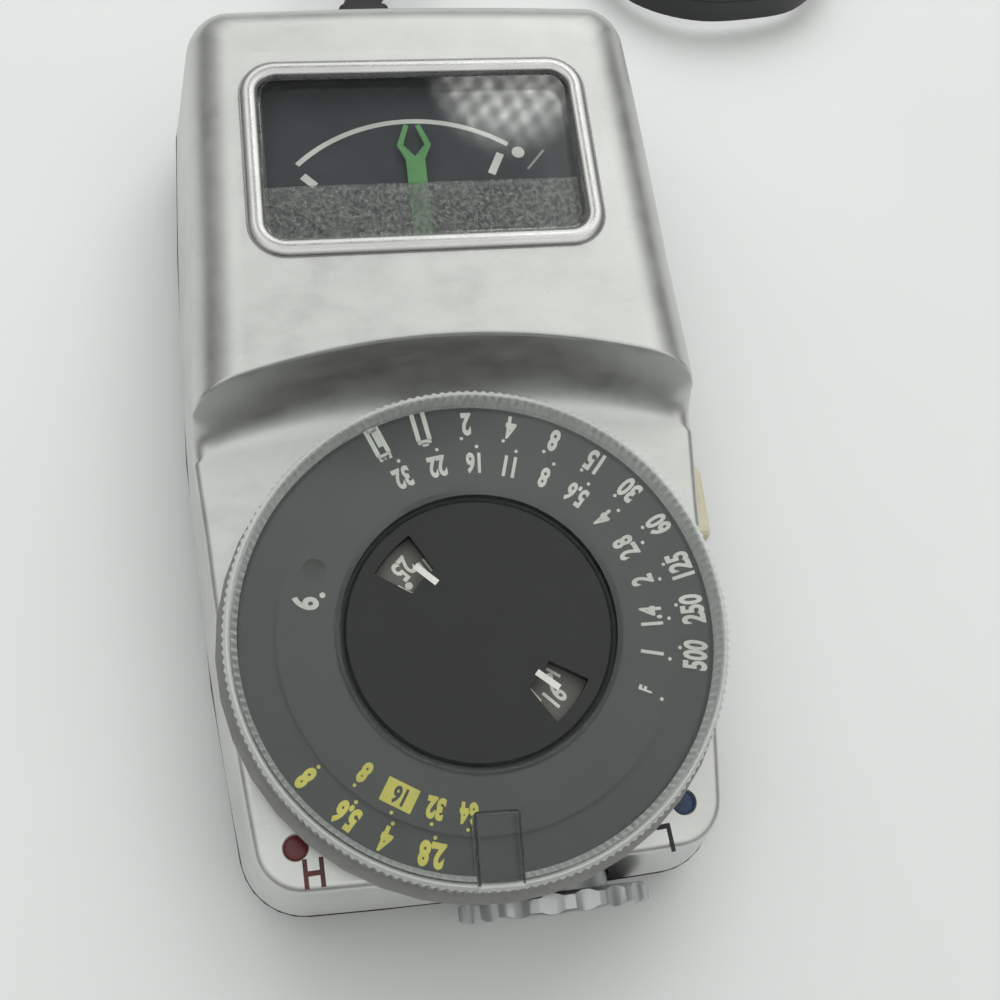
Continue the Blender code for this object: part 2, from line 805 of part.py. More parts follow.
def shell(outer_rows, inner_rows, grow, seam, up, draft, wall, roof):
    bm = bmesh.new()
    outside = shell_skin(bm, outer_rows, -grow, seam, up, draft, 0.0, 0.0, fillet_steps)
    inside = shell_skin(bm, inner_rows, wall - grow, seam, up, draft, roof, wall, inner_steps)
    count = len(outside)
    for i in range(count):
        j = (i + 1) % count
        bm.faces.new((outside[i], outside[j], inside[j], inside[i]))
    return bm


front_casing = put("front_casing",
                   shell(shell_rows(False), shell_rows(True), 0.0, body["seam_z"], 1,
                         draft_share, body["wall"], body["wall"]), SILVER)

cover_top = body["seam_z"] - gap


def cover_rows():
    low = cover_top
    rows = [("corner", -1, 0.5 - 0.5 * step / corner_steps, 0.0, low, rear["fillet"])
            for step in range(corner_steps + 1)]
    front_y, top_y = corners[-1][1], corners[1][1]
    rows += [("side", front_y + (top_y - front_y) * share, 0.0, low, rear["fillet"])
             for share in plain_shares]
    rows += [("corner", 1, 0.5 * step / corner_steps, 0.0, low, rear["fillet"])
             for step in range(corner_steps + 1)]
    return rows


rear_cover = put("rear_cover",
                 shell(cover_rows(), cover_rows(), rear["proud"], cover_top, -1, rear_draft_share,
                       rear["wall"], rear["floor"]), BLACK)


def wall_inside(y, z):
    # inner face of the side wall at a height above the seam
    width, _ = side_x(y)
    return width - body["wall"] - draft_share * (z - body["seam_z"])


# window frame, bosses and holes of the case
def frame_at(y):
    # height of the housing face at y
    start = body["lip_y"]
    return body["housing_z"] - body["housing_fall"] * max(0.0, y - start) / (half_length - start)


face_z = frame_at(window["y"])
bead_shares = ((0.0, 0.0), (0.12, 0.72), (0.38, 1.0), (0.62, 1.0), (0.86, 0.72), (1.0, 0.0))


def around(offset, z):
    return [(x, y, z) for x, y in rounded(window["half_x"] + offset, window["half_y"] + offset,
                                          window["corner"] + offset, 4, window["x"], window["y"])]


inner_off = -window["edge"]
bead_loops = [around(inner_off, face_z - sink)]
for share, rise in bead_shares:
    offset = share * window["bead_width"] if share else inner_off
    bead_loops.append(around(offset, face_z + window["bead_rise"] * rise))
bead_loops.append(around(window["bead_width"], face_z - sink))
join(front_casing, "window_bead", loft(bead_loops, ring=True))
cut(front_casing, "window", prism(rounded(window["half_x"], window["half_y"], window["corner"], 4,
                                          window["x"], window["y"]),
                                  window["underside"] - overrun, face_z + overrun))

housing_roof = body["housing_z"] - body["wall"]
plateau_roof = body["plateau_z"] - body["wall"]
boss_low = body["seam_z"] + gap
seat_z = chassis["z"] + chassis["thick"] + gap
scale_low = scale["top"] - scale["thick"]
screw_places = {
    "rear_screw_1": (-fastener["front_x"], fastener["front_y"], plateau_roof),
    "rear_screw_2": (fastener["front_x"], fastener["front_y"], plateau_roof),
    "rear_screw_3": (-fastener["top_x"], fastener["top_y"], housing_roof - body["housing_fall"]),
    "rear_screw_4": (fastener["top_x"], fastener["top_y"], housing_roof - body["housing_fall"]),
}
chassis_places = {
    "chassis_screw_1": (-chassis["side_screw_x"], chassis["side_screw_y"], plateau_roof),
    "chassis_screw_2": (chassis["side_screw_x"], chassis["side_screw_y"], plateau_roof),
    "chassis_screw_3": (0.0, chassis["end_screw_y"], housing_roof - body["housing_fall"]),
}
scale_places = {
    "scale_screw_1": (-scale["screw_x"], scale["screw_y"], housing_roof),
    "scale_screw_2": (scale["screw_x"], scale["screw_y"], housing_roof),
}
for name, (x, y, roof) in screw_places.items():
    join(front_casing, "boss_" + name, disc(fastener["boss_r"], boss_low, roof + sink, 12), (x, y, 0))
for name, (x, y, roof) in chassis_places.items():
    join(front_casing, "boss_" + name, disc(chassis["boss_r"], seat_z, roof + sink, 12), (x, y, 0))
for name, (x, y, roof) in scale_places.items():
    join(front_casing, "boss_" + name, disc(scale["boss_r"], scale["top"] + gap, roof + sink / 2, 10),
         (x, y, 0))
for name, (x, y, roof) in screw_places.items():
    cut(front_casing, name, disc(fastener["shank_r"] + slip, boss_low - overrun, fastener["reach"] + gap, 8),
        (x, y, 0))
for name, (x, y, roof) in chassis_places.items():
    cut(front_casing, name, disc(chassis["screw_r"] + slip, seat_z - overrun, seat_z + chassis["bite"], 8),
        (x, y, 0))
for name, (x, y, roof) in scale_places.items():
    cut(front_casing, name, disc(scale["screw_r"] + slip, scale["top"] - overrun,
                                 scale["top"] + chassis["head_thick"] + gap, 8), (x, y, 0))

cut(front_casing, "hub", disc(dial["hub_hole"], plateau_roof - overrun, body["plateau_z"] + overrun, 32),
    (0, dial["y"], 0))
for side in (-1, 1):
    cut(front_casing, "dot_%d" % (side + 1), disc(dot["r"] + dot["ease"], body["plateau_z"] - dot["depth"],
                                                  body["plateau_z"] + overrun, 20),
        (side * dot["x"], dot["y"], 0))

front_y = -half_length
sleeve_hole = ring["sleeve_outer"] + gap


def front_hole():
    return turn_to_y(disc(sleeve_hole, 0, body["wall"] * 2 + 2 * overrun, 32),
                     (ring["x"], front_y + body["wall"] * 2 + overrun, ring["z"]))


cut(front_casing, "sleeve", front_hole())
cut(rear_cover, "sleeve", front_hole())

button_face, _ = side_x(button["y"])
slot_half_y = button["length"] / 2 + slip
slot_half_z = button["height"] / 2 + slip
slot_deep = 2 * overrun + 2 * body["wall"]
slot_bm = prism(rounded(slot_half_z, slot_half_y, button["round"] + slip, 4), 0, slot_deep)
quarter_y = Matrix.Rotation(math.radians(90), 3, "Y")
bmesh.ops.rotate(slot_bm, verts=slot_bm.verts[:], cent=(0, 0, 0), matrix=quarter_y)
cut(front_casing, "button", slot_bm, (button_face - 2 * body["wall"] - overrun, button["y"], button["z"]))

lug_half_z = strap["lug_thick"] / 2 + slip
lug_half_x = strap["lug_half"] + slip
cut(front_casing, "lug", block((strap["x"] - lug_half_x, half_length - body["wall"] * 2 - overrun,
                                strap["z"] - lug_half_z),
                               (strap["x"] + lug_half_x, half_length + overrun, strap["z"] + lug_half_z)))

# rear cover: pillars, battery well, holes
floor_z = rear["floor"]
for name, (x, y, roof) in screw_places.items():
    join(rear_cover, "pillar_" + name, disc(fastener["pillar_r"], floor_z - sink, cover_top, 12), (x, y, 0))
    cut(rear_cover, "head_" + name, disc(fastener["head_r"] + slip, -overrun,
                                         fastener["low"] + fastener["head_thick"] + slip, 16), (x, y, 0))
    cut(rear_cover, "shank_" + name, disc(fastener["shank_r"] + slip, 0, cover_top + overrun, 8), (x, y, 0))
battery_at = (0, battery["y"], 0)
join(rear_cover, "battery_well", washer(battery["well_bore"], battery["well_bore"] + battery["well_wall"],
                                        floor_z - sink, battery["well_top"], 28), battery_at)
cut(rear_cover, "battery_cap", disc(battery["cap_hole"], -overrun, floor_z + overrun, 36), battery_at)
cut(rear_cover, "cap_notch", block((-battery["notch_r"], -battery["ear_half"] - slip, -overrun),
                                   (battery["notch_r"], battery["ear_half"] + slip, floor_z + overrun / 2)),
    battery_at)
zero_at = (needle["x"], needle["y"], 0)
join(rear_cover, "zero_boss", disc(zero["boss_r"], floor_z - sink, zero["boss_top"], 20), zero_at)
zero_seat = zero["low"] + zero["head_thick"] + slip
cut(rear_cover, "zero_head", disc(zero["head_r"] + slip, -overrun, zero_seat, 20), zero_at)
cut(rear_cover, "zero_shank", disc(zero["shank_r"] + slip, 0, zero["boss_top"] + overrun, 16), zero_at)


def slotted(name, profile, steps, look, half, reach, low, depth, at, parent=None):
    # a screw or cap whose driver slot opens downward
    made = put(name, turned(profile, steps, closed=False), look, at, parent)
    cut(made, "slot_" + name, block((-reach, -half, low - overrun), (reach, half, low + depth)), at)
    return made


for name, (x, y, roof) in screw_places.items():
    under = fastener["low"] + fastener["head_thick"]
    slotted(name, [(0, fastener["reach"]), (fastener["shank_r"], fastener["reach"]),
                   (fastener["shank_r"], under), (fastener["head_r"], under),
                   (fastener["head_r"], fastener["low"]), (0, fastener["low"])],
            12, STEEL, fastener["slot_half"], fastener["head_r"] + overrun, fastener["low"],
            fastener["slot_depth"], (x, y, 0))

# window, strip, scale
window_low = window["underside"]
glass_top = face_z + window["rise"]
shelf = window_low + window["flange_thick"]
ease = -slip
window_loops = [
    around(window["flange"], window_low),
    around(window["flange"], shelf),
    around(ease, shelf),
    around(ease, glass_top - window["edge"]),
    around(ease - window["edge"] / 3, glass_top - window["edge"] / 3),
    around(ease - window["edge"], glass_top),
]
meter_window = put("meter_window", loft(window_loops), CLEAR)

strip_low_y = window["y"] - window["half_y"] + strip["inset"]
strip_half_x = window["half_x"] - strip["inset"]
strip_high = window_low - slip
put("frosted_strip", block((window["x"] - strip_half_x, strip_low_y, strip_high - strip["thick"]),
                           (window["x"] + strip_half_x, strip["top_y"], strip_high)),
    ((0.42, 0.43, 0.43), 0.7, 0.0))

scale_mid_y = (scale["low_y"] + scale["high_y"]) / 2
scale_half_y = (scale["high_y"] - scale["low_y"]) / 2
scale_outline = rounded(scale["half_x"], scale_half_y, scale["corner"], 3, 0, scale_mid_y)
scale_plate = put("scale_plate", prism(scale_outline, scale_low, scale["top"]), DARK)
cut(scale_plate, "staff", disc(needle["hub_r"], scale_low - overrun, scale["top"] + overrun, 20), zero_at)
for name, (x, y, roof) in scale_places.items():
    cut(scale_plate, name, disc(scale["screw_r"] + slip, scale_low - overrun, scale["top"] + overrun, 12),
        (x, y, 0))
    under = scale_low - gap
    tip = scale["top"] + chassis["head_thick"]
    put(name, turned([(0, tip), (scale["screw_r"], tip), (scale["screw_r"], under), (scale["head_r"], under),
                      (scale["head_r"], under - scale["head_thick"]), (0, under - scale["head_thick"])],
                     8, closed=False), STEEL, (x, y, 0))

# chassis plate and its screws
chassis_mid = (chassis["low_y"] + chassis["high_y"]) / 2
chassis_half = (chassis["high_y"] - chassis["low_y"]) / 2
chassis_outline = rounded(chassis["half_x"], chassis_half, chassis["corner"], 3, 0, chassis_mid)
chassis_plate = put("chassis_plate", prism(chassis_outline, chassis["z"], chassis["z"] + chassis["thick"]),
                    BRASS)
for name, (x, y, roof) in chassis_places.items():
    cut(chassis_plate, name, disc(chassis["screw_r"] + slip, chassis["z"] - overrun,
                                  chassis["z"] + chassis["thick"] + overrun, 12), (x, y, 0))
    under = chassis["z"] - gap
    tip = seat_z + chassis["bite"] - gap
    put(name, turned([(0, tip), (chassis["screw_r"], tip), (chassis["screw_r"], under),
                      (chassis["head_r"], under), (chassis["head_r"], under - chassis["head_thick"]),
                      (0, under - chassis["head_thick"])], 10, closed=False), STEEL, (x, y, 0))
cut(chassis_plate, "zero", disc(zero["shank_r"] + slip, chassis["z"] - overrun,
                                chassis["z"] + chassis["thick"] + overrun, 16), zero_at)

# moving-coil movement
needle_axis = axis_empty("needle_axis", zero_at)
yoke_low = seat_z
yoke_top = yoke_low + movement["yoke_thick"]
yoke_mid = (yoke_low + yoke_top) / 2
put("meter_yoke", washer(movement["yoke_bore"], movement["yoke_outer"], yoke_low, yoke_top, 28), STEEL,
    zero_at)
core_half = movement["core_thick"] / 2
core = put("meter_core", disc(movement["core_r"], yoke_mid - core_half, yoke_mid + core_half, 24),
           ((0.3, 0.3, 0.32), 0.4, 0.8), zero_at)
ear_reach = movement["yoke_bore"] - gap
join(core, "ears", block((-movement["ear_half"], -ear_reach, yoke_mid - movement["ear_thick"] / 2),
                         (movement["ear_half"], ear_reach, yoke_mid + movement["ear_thick"] / 2)), zero_at)

coil_in_z = core_half + gap
coil_out_x = movement["coil_inner"] + movement["coil_bar"]
coil_out_z = coil_in_z + movement["coil_bar_z"]
depth = movement["coil_depth"] / 2
coil_loops = []
coil_in_x = movement["coil_inner"]
for half_x, half_z, y in ((coil_out_x, coil_out_z, -depth), (coil_out_x, coil_out_z, depth),
                          (coil_in_x, coil_in_z, depth), (coil_in_x, coil_in_z, -depth)):
    coil_loops.append([(-half_x, y, yoke_mid - half_z), (half_x, y, yoke_mid - half_z),
                       (half_x, y, yoke_mid + half_z), (-half_x, y, yoke_mid + half_z)])
coil = put("needle_coil", loft(coil_loops, ring=True), ((0.45, 0.2, 0.08), 0.4, 0.6), parent=needle_axis)
needle_low = scale["top"] + gap + slip
staff_foot = yoke_mid - coil_out_z - gap
half_bar = movement["coil_bar_z"] / 2
join(coil, "staff_top", disc(needle["staff_r"], yoke_mid + coil_out_z - half_bar, needle_low - slip, 12),
     zero_at)
join(coil, "staff_low", disc(needle["staff_r"], staff_foot, yoke_mid - coil_out_z + half_bar, 12), zero_at)

wide = needle["half_width"]
needle_outline = [
    (-wide, 0.0), (-wide, needle["neck_reach"]), (-needle["wide_half"], needle["wide_reach"]),
    (-needle["frame"], needle["tip_reach"]), (needle["frame"], needle["tip_reach"]),
    (needle["wide_half"], needle["wide_reach"]), (wide, needle["neck_reach"]), (wide, 0.0),
    (needle["tail_half"], -needle["tail"]), (-needle["tail_half"], -needle["tail"]),
]
needle_top = needle_low + needle["thick"]
pointer = put("needle", prism(needle_outline, needle_low, needle_top), GREEN, parent=needle_axis)
inner_wide = needle["wide_half"] - 1.4 * needle["frame"]
eye = [(0.0, needle["neck_reach"]), (-inner_wide, needle["wide_reach"]),
       (-needle["frame"] / 4, needle["tip_reach"] - needle["frame"]),
       (needle["frame"] / 4, needle["tip_reach"] - needle["frame"]), (inner_wide, needle["wide_reach"])]
cut(pointer, "eye", prism(eye, needle_low - overrun / 4, needle_top + overrun / 4), zero_at)
join(pointer, "hub", disc(needle["hub_r"] - gap, needle_low, needle_top + slip, 20), zero_at)

bridge_low = yoke_top + gap
bridge = put("upper_bridge", prism(rounded(movement["bridge_half"], movement["bridge_reach"],
                                           movement["bridge_half"] / 2, 3),
                                   bridge_low, bridge_low + movement["bridge_thick"]), BRASS, zero_at)
cut(bridge, "jewel", disc(needle["staff_r"] + slip, bridge_low - overrun / 4,
                          bridge_low + movement["bridge_thick"] + overrun / 4, 12), zero_at)

# circuit board
board_low = seat_z
board_top = board_low + board["thick"]
board_mid = (chassis["low_y"] + board["high_y"]) / 2
board_half = (board["high_y"] - chassis["low_y"]) / 2
board_outline = rounded(board["half_x"], board_half, chassis["corner"] / 2, 2, 0, board_mid)
plate = put("circuit_board", prism(board_outline, board_low, board_top), ((0.35, 0.2, 0.08), 0.6, 0.0))
dial_at = (0, dial["y"], 0)
cut(plate, "post", disc(centre["foot_r"] + gap, board_low - overrun, board_top + overrun, 24), dial_at)
for name, x, y in (("resistor_1", board["first_x"], board["first_y"]),
                   ("resistor_2", board["second_x"], board["second_y"])):
    bulk, whole = board["resistor_length"] / 2, board["resistor_length"] / 2 + board["lead"]
    profile = [(0, whole), (board["lead_r"], whole), (board["lead_r"], bulk), (board["resistor_r"], bulk),
               (board["resistor_r"], -bulk), (board["lead_r"], -bulk), (board["lead_r"], -whole), (0, -whole)]
    bm = turned(profile, 12, closed=False)
    bmesh.ops.rotate(bm, verts=bm.verts[:], cent=(0, 0, 0), matrix=quarter_y)
    put(name, bm, ((0.62, 0.5, 0.33), 0.5, 0.0), (x, y, board_top + board["part_gap"] + board["resistor_r"]))
trimmer_low = board_top + board["part_gap"]
trimmer = put("trimmer", disc(board["trimmer_r"], trimmer_low, trimmer_low + board["trimmer_thick"], 20),
              ((0.12, 0.2, 0.45), 0.5, 0.0), (board["trimmer_x"], board["trimmer_y"], 0))
cut(trimmer, "trimmer_slot", block((-board["trimmer_r"] / 2, -board["slot_half"],
                                    trimmer_low + board["trimmer_thick"] - board["slot_depth"]),
                                   (board["trimmer_r"] / 2, board["slot_half"],
                                    trimmer_low + board["trimmer_thick"] + overrun)),
    (board["trimmer_x"], board["trimmer_y"], 0))

# dial stack
dial_axis = axis_empty("dial_axis", dial_at)
dish_low = body["plateau_z"] + dial["lift"]
dish_floor = dish_low + dial["floor"]
wall_top = dial["disc_low"] - gap
dish = [
    (dial["hub_bore"], dish_floor), (dial["wall_inner"], dish_floor), (dial["wall_inner"], wall_top),
    (dial["wall_outer"], wall_top), (dial["wall_outer"], dial["lip_z"] + dial["lip_thick"]),
    (dial["lip_r"], dial["lip_z"] + dial["lip_thick"]), (dial["lip_r"], dial["lip_z"]),
    (dial["wall_outer"], dish_low), (dial["hub_outer"], dish_low), (dial["hub_outer"], dial["hub_low"]),
    (dial["hub_bore"], dial["hub_low"]),
]
put("outer_dial", turned(dish, 40), ((0.5, 0.51, 0.52), 0.4, 0.6), parent=dial_axis)
disc_top = dial["disc_low"] + dial["disc_thick"]
put("shutter_disc", washer(dial["disc_bore"], dial["disc_r"], dial["disc_low"], disc_top, 40), DARK,
    parent=dial_axis)

arm_top = track["arm_low"] + track["arm_thick"]
wiper = put("wiper_arm", washer(dial["hub_outer"] + slip, track["arm_outer"], track["arm_low"], arm_top, 24),
            BRASS, parent=dial_axis)
join(wiper, "finger", block((dial["hub_outer"] + gap + slip, -track["arm_half"], track["arm_low"]),
                            (track["arm_reach"], track["arm_half"], arm_top)), dial_at)
track_low = board_top + gap
track_top = track_low + track["thick"]
join(wiper, "tip", disc(track["tip_r"], track_top + slip, arm_top - track["arm_thick"] / 2, 12),
     (track["tip_at"], dial["y"], 0))
resistance = put("wiper_track", washer(track["inner"], track["outer"], track_low, track_top, 28), DARK,
                 dial_at)
cut(resistance, "track_gap", block((-track["arm_half"], -track["outer"] - overrun, track_low - overrun / 4),
                                   (track["arm_half"], 0, track_top + overrun / 4)), dial_at)

speed_low = dial["disc_low"]
speed_top = speed_low + centre["speed_thick"]
shoulder_z = speed_low - gap
pin_top = centre["top"] - centre["roof"] - slip
foot_top = seat_z + centre["foot_thick"]
post = [(0, pin_top), (centre["pin_r"], pin_top), (centre["pin_r"], shoulder_z),
        (centre["stem_r"], shoulder_z), (centre["stem_r"], foot_top), (centre["foot_r"], foot_top),
        (centre["foot_r"], seat_z), (0, seat_z)]
put("centre_post", turned(post, 16, closed=False), STEEL, dial_at)
put("film_speed_disc", washer(centre["pin_r"] + slip, centre["speed_r"], speed_low, speed_top, 28), BLACK,
    dial_at)

cover_axis = axis_empty("cover_axis", dial_at)
inner_low = disc_top + gap
inner_top = inner_low + dial["inner_thick"]
aperture = put("aperture_disc", washer(dial["inner_bore"], dial["inner_r"], inner_low, inner_top, 32), DARK,
               parent=cover_axis)
turn = math.radians(mark_angle)
cut(aperture, "mark", disc(dial["mark_r"], inner_low - overrun / 4, inner_top + overrun / 4, 20),
    (dial["mark_at"] * math.cos(turn), dial["y"] + dial["mark_at"] * math.sin(turn), 0))

flange_low = speed_top + gap
flange_top = flange_low + centre["flange_thick"]
hub = [(0, centre["top"]), (centre["r"] - centre["chamfer"], centre["top"]),
       (centre["r"], centre["top"] - centre["chamfer"]), (centre["r"], flange_top),
       (centre["flange_r"], flange_top), (centre["flange_r"], flange_low),
       (centre["pin_r"] + slip, flange_low), (centre["pin_r"] + slip, centre["top"] - centre["roof"]),
       (0, centre["top"] - centre["roof"])]
centre_disc = put("centre_disc", turned(hub, 32, closed=False), BLACK, parent=cover_axis)


def sector(inner, outer, start, stop, low, high, steps=5):
    outline = []
    for step in range(steps + 1):
        turn = math.radians(start + (stop - start) * step / steps)
        outline.append((outer * math.cos(turn), outer * math.sin(turn)))
    for step in range(steps, -1, -1):
        turn = math.radians(start + (stop - start) * step / steps)
        outline.append((inner * math.cos(turn), inner * math.sin(turn)))
    return prism(outline, low, high)


for number, angle in enumerate(window_angles):
    cut(centre_disc, "speed_window_%d" % number,
        sector(centre["window_from"], centre["window_to"], angle - window_spread / 2,
               angle + window_spread / 2, flange_low - gap / 2, centre["top"] + overrun), dial_at)

# clear dial: a plate with a raised rim, a skirt that snaps under the dark disc and a milled edge
plate_low = inner_top + gap
plate_top = plate_low + clear["plate_thick"]
rim_top = plate_top + clear["rim_rise"]
skirt_low = dial["lip_z"] + dial["lip_thick"] + gap
snap_top = min(skirt_low + clear["snap_thick"], dial["disc_low"] - slip)
fine = bead_count * 2
coarse = bead_count // 3


def milled(radius, z):
    points = []
    for i in range(fine):
        turn = math.tau * i / fine
        reach = radius if i % 2 == 0 else radius - clear["bead"]
        points.append((reach * math.cos(turn), reach * math.sin(turn), z))
    return points


def ring_with_milled_edge(plain_loops, milled_loops, count):
    # plain loops, outside top round to outside bottom, closed by the finely divided loops of the outer edge
    bm = bmesh.new()
    rings = []
    for radius, z in plain_loops:
        rings.append([bm.verts.new((x, y, z)) for x, y in circle(radius, count)])
    outer = [[bm.verts.new(point) for point in loop] for loop in milled_loops]
    for family in (rings, outer[::-1]):
        for first, second in zip(family[:-1], family[1:]):
            for i in range(len(first)):
                j = (i + 1) % len(first)
                bm.faces.new((first[i], first[j], second[j], second[i]))
    many = len(outer[0])
    step = many // count
    for loop, plain in ((outer[0], rings[0]), (outer[-1], rings[-1])):
        for i in range(count):
            j = (i + 1) % count
            span = [loop[(i * step + k) % many] for k in range(step + 1)]
            half = step // 2
            for a, b in zip(span[:half], span[1:half + 1]):
                bm.faces.new((plain[i], a, b))
            bm.faces.new((plain[i], span[half], plain[j]))
            for a, b in zip(span[half:-1], span[half + 1:]):
                bm.faces.new((plain[j], a, b))
    return bm


rim_in = clear["outer"] - clear["rim_width"]
clear_loops = [
    (clear["outer"] - clear["bead"] * 3, rim_top),
    (rim_in, rim_top),
    (rim_in - clear["rim_rise"] / 2, plate_top),
    (clear["bore"] + clear["bore_chamfer"], plate_top),
    (clear["bore"], plate_top - clear["bore_chamfer"]),
    (clear["bore"], plate_low),
    (clear["skirt_inner"], plate_low),
    (clear["skirt_inner"], snap_top),
    (clear["snap_inner"], snap_top),
    (clear["snap_inner"], skirt_low),
    (clear["outer"] - clear["bead"] * 3, skirt_low),
]
clear_edges = [milled(clear["outer"], rim_top - clear["bead"] * 2),
               milled(clear["outer"], skirt_low + clear["bead"])]
clear_dial = put("clear_dial", ring_with_milled_edge(clear_loops, clear_edges, coarse), CLEAR,
                 parent=cover_axis)
tab = prism([(clear["tab_from"], -clear["tab_half"]), (clear["tab_to"], -clear["tab_half"]),
             (clear["tab_to"], clear["tab_half"]), (clear["tab_from"], clear["tab_half"])],
            plate_top - clear["rim_rise"], plate_top + clear["tab_rise"])
bmesh.ops.rotate(tab, verts=tab.verts[:], cent=(0, 0, 0),
                 matrix=Matrix.Rotation(math.radians(tab_angle), 3, "Z"))
join(clear_dial, "tab", tab, dial_at)

# fluted range ring and light receptor
ring_axis = axis_empty("ring_axis", (ring["x"], front_y, ring["z"]))
ring_back = ring["stand"]
ring_front = ring_back + ring["thick"]
flute_shares = (0.0, 0.9, 0.9)
ring_steps = flute_count * len(flute_shares)


def fluted(radius, z):
    points = []
    for i in range(ring_steps):
        turn = math.tau * i / ring_steps
        reach = radius - ring["flute"] * flute_shares[i % len(flute_shares)]
        points.append((reach * math.cos(turn), reach * math.sin(turn), z))
    return points


ring_tail = ring_back - ring["sleeve_length"]
ring_edges = [
    fluted(ring["r"] - ring["edge"], ring_front),
    fluted(ring["r"], ring_front - ring["edge"]),
    fluted(ring["r"], ring_back + ring["edge"]),
    fluted(ring["r"] - ring["edge"], ring_back),
]
ring_loops = [
    (ring["bore"], ring_front),
    (ring["sleeve_bore"], ring_back + ring["edge"]),
    (ring["sleeve_bore"], ring_tail),
    (ring["sleeve_outer"], ring_tail),
    (ring["sleeve_outer"], ring_back),
]
ring_look = ((0.66, 0.67, 0.68), 0.28, 1.0)
put("range_ring", turn_to_y(ring_with_milled_edge(ring_loops, ring_edges, flute_count), (0, 0, 0)), ring_look,
    parent=ring_axis)
lens_low = ring_back
lens_high = lens_low + ring["lens_thick"]
lens = [(0, lens_high), (ring["lens_r"] / 2, lens_high - ring["lens_dome"] / 4),
        (ring["lens_r"], lens_high - ring["lens_dome"]), (ring["lens_r"], lens_low), (0, lens_low)]
put("receptor_lens", turn_to_y(turned(lens, 20, closed=False), (0, 0, 0)), CLEAR, parent=ring_axis)
mask_high = ring_back - ring["sleeve_length"] - gap
mask_low = mask_high - ring["mask_thick"]
mask = put("range_mask", turn_to_y(disc(ring["mask_r"], mask_low, mask_high, 20), (0, 0, 0)), BLACK,
           parent=ring_axis)
ring_place = Vector((ring["x"], front_y, ring["z"]))
for number, side in enumerate((-1, 1)):
    size = ring["mask_hole"] if side < 0 else ring["mask_hole"] / 2
    hole = disc(size, mask_low - overrun / 4, mask_high + overrun / 4, 16)
    bmesh.ops.translate(hole, verts=hole.verts[:], vec=(side * ring["mask_hole_at"], 0, 0))
    cut(mask, "mask_hole_%d" % number, turn_to_y(hole, ring_place))
tube_high = mask_low - gap
tube_low = tube_high - ring["tube_length"]
tube_profile = [(ring["tube_outer"] - ring["tube_wall"], tube_high), (ring["tube_outer"], tube_high),
                (ring["tube_outer"], tube_low), (ring["tube_outer"] - ring["tube_wall"], tube_low)]
put("receptor_tube", turn_to_y(turned(tube_profile, 24), ring_place), BLACK)
cell_high = tube_high - ring["tube_wall"]
put("light_cell", turn_to_y(disc(ring["tube_outer"] - ring["tube_wall"] - gap, cell_high - ring["cell_thick"],
                                 cell_high, 20), ring_place), ((0.6, 0.45, 0.2), 0.4, 0.0))

# range dots
for name, side, colour in (("red_dot", -1, (0.28, 0.02, 0.03)), ("blue_dot", 1, (0.02, 0.06, 0.16))):
    low = body["plateau_z"] - dot["depth"] + dot["ease"]
    put(name, disc(dot["r"], low, low + dot["thick"], 20), (colour, 0.35, 0.0),
        (side * dot["x"], dot["y"], 0))

# side button, its spring and switch
press_half_y = button["length"] / 2
press_half_z = button["height"] / 2
flange_half_y = press_half_y + button["flange"]
flange_half_z = press_half_z + button["flange"]
flange_face = wall_inside(button["y"] - flange_half_y, button["z"] + flange_half_z) - gap
flange_back = flange_face - button["flange_thick"]
button_front = button_face + button["proud"] - draft_share * (button["z"] - body["seam_z"])
press_axis = axis_empty("press_axis", (flange_back, button["y"], button["z"]))


def facing_x(bm):
    bmesh.ops.rotate(bm, verts=bm.verts[:], cent=(0, 0, 0), matrix=quarter_y)
    return bm


def plan(half_y, half_z, radius, x):
    return [(-z, y, x) for z, y in rounded(half_z, half_y, radius, 4)]


press_length = button_front - flange_back
press_edge = button["flange_thick"] / 2
press_loops = [
    plan(flange_half_y, flange_half_z, button["round"], 0.0),
    plan(flange_half_y, flange_half_z, button["round"], button["flange_thick"]),
    plan(press_half_y, press_half_z, button["round"], button["flange_thick"]),
    plan(press_half_y, press_half_z, button["round"], press_length - press_edge),
    plan(press_half_y - press_edge, press_half_z - press_edge, button["round"] - press_edge, press_length),
]
press = put("measure_button", facing_x(loft(press_loops)), ((0.62, 0.55, 0.36), 0.45, 0.0), parent=press_axis)
post_bm = facing_x(disc(button["post_r"], -button["post"], button["flange_thick"] / 2, 12))
join(press, "button_post", post_bm, (flange_back, button["y"] + button["post_y"], button["z"]))
leaf_face = flange_back - button["post"] - button["travel"] - slip / 2
leaf_y = button["y"] + button["arm_from"] - gap
leaf_z = (button["z"] - button["leaf_half_z"], button["z"] + button["leaf_half_z"])
for number in range(2):
    high = leaf_face - number * button["leaf_space"] - number * button["leaf_thick"]
    put("switch_leaf_%d" % (number + 1),
        block((high - button["leaf_thick"], leaf_y - button["leaf_length"], leaf_z[0]),
              (high, leaf_y, leaf_z[1])), BRASS)
spring_end = flange_back - gap
block_high = spring_end - button["spring_room"]
block_z = (button["z"] - button["block_half_z"], button["z"] + button["block_half_z"])
switch = put("switch_block", block((button["block_low_x"], button["y"] + button["block_from"], block_z[0]),
                                   (block_high, button["y"] + button["arm_to"], block_z[1])), BLACK)
join(switch, "switch_arm", block((block_high - gap, button["y"] + button["arm_from"], block_z[0]),
                                 (leaf_face + gap, button["y"] + button["arm_to"] - gap, block_z[1] - gap)))


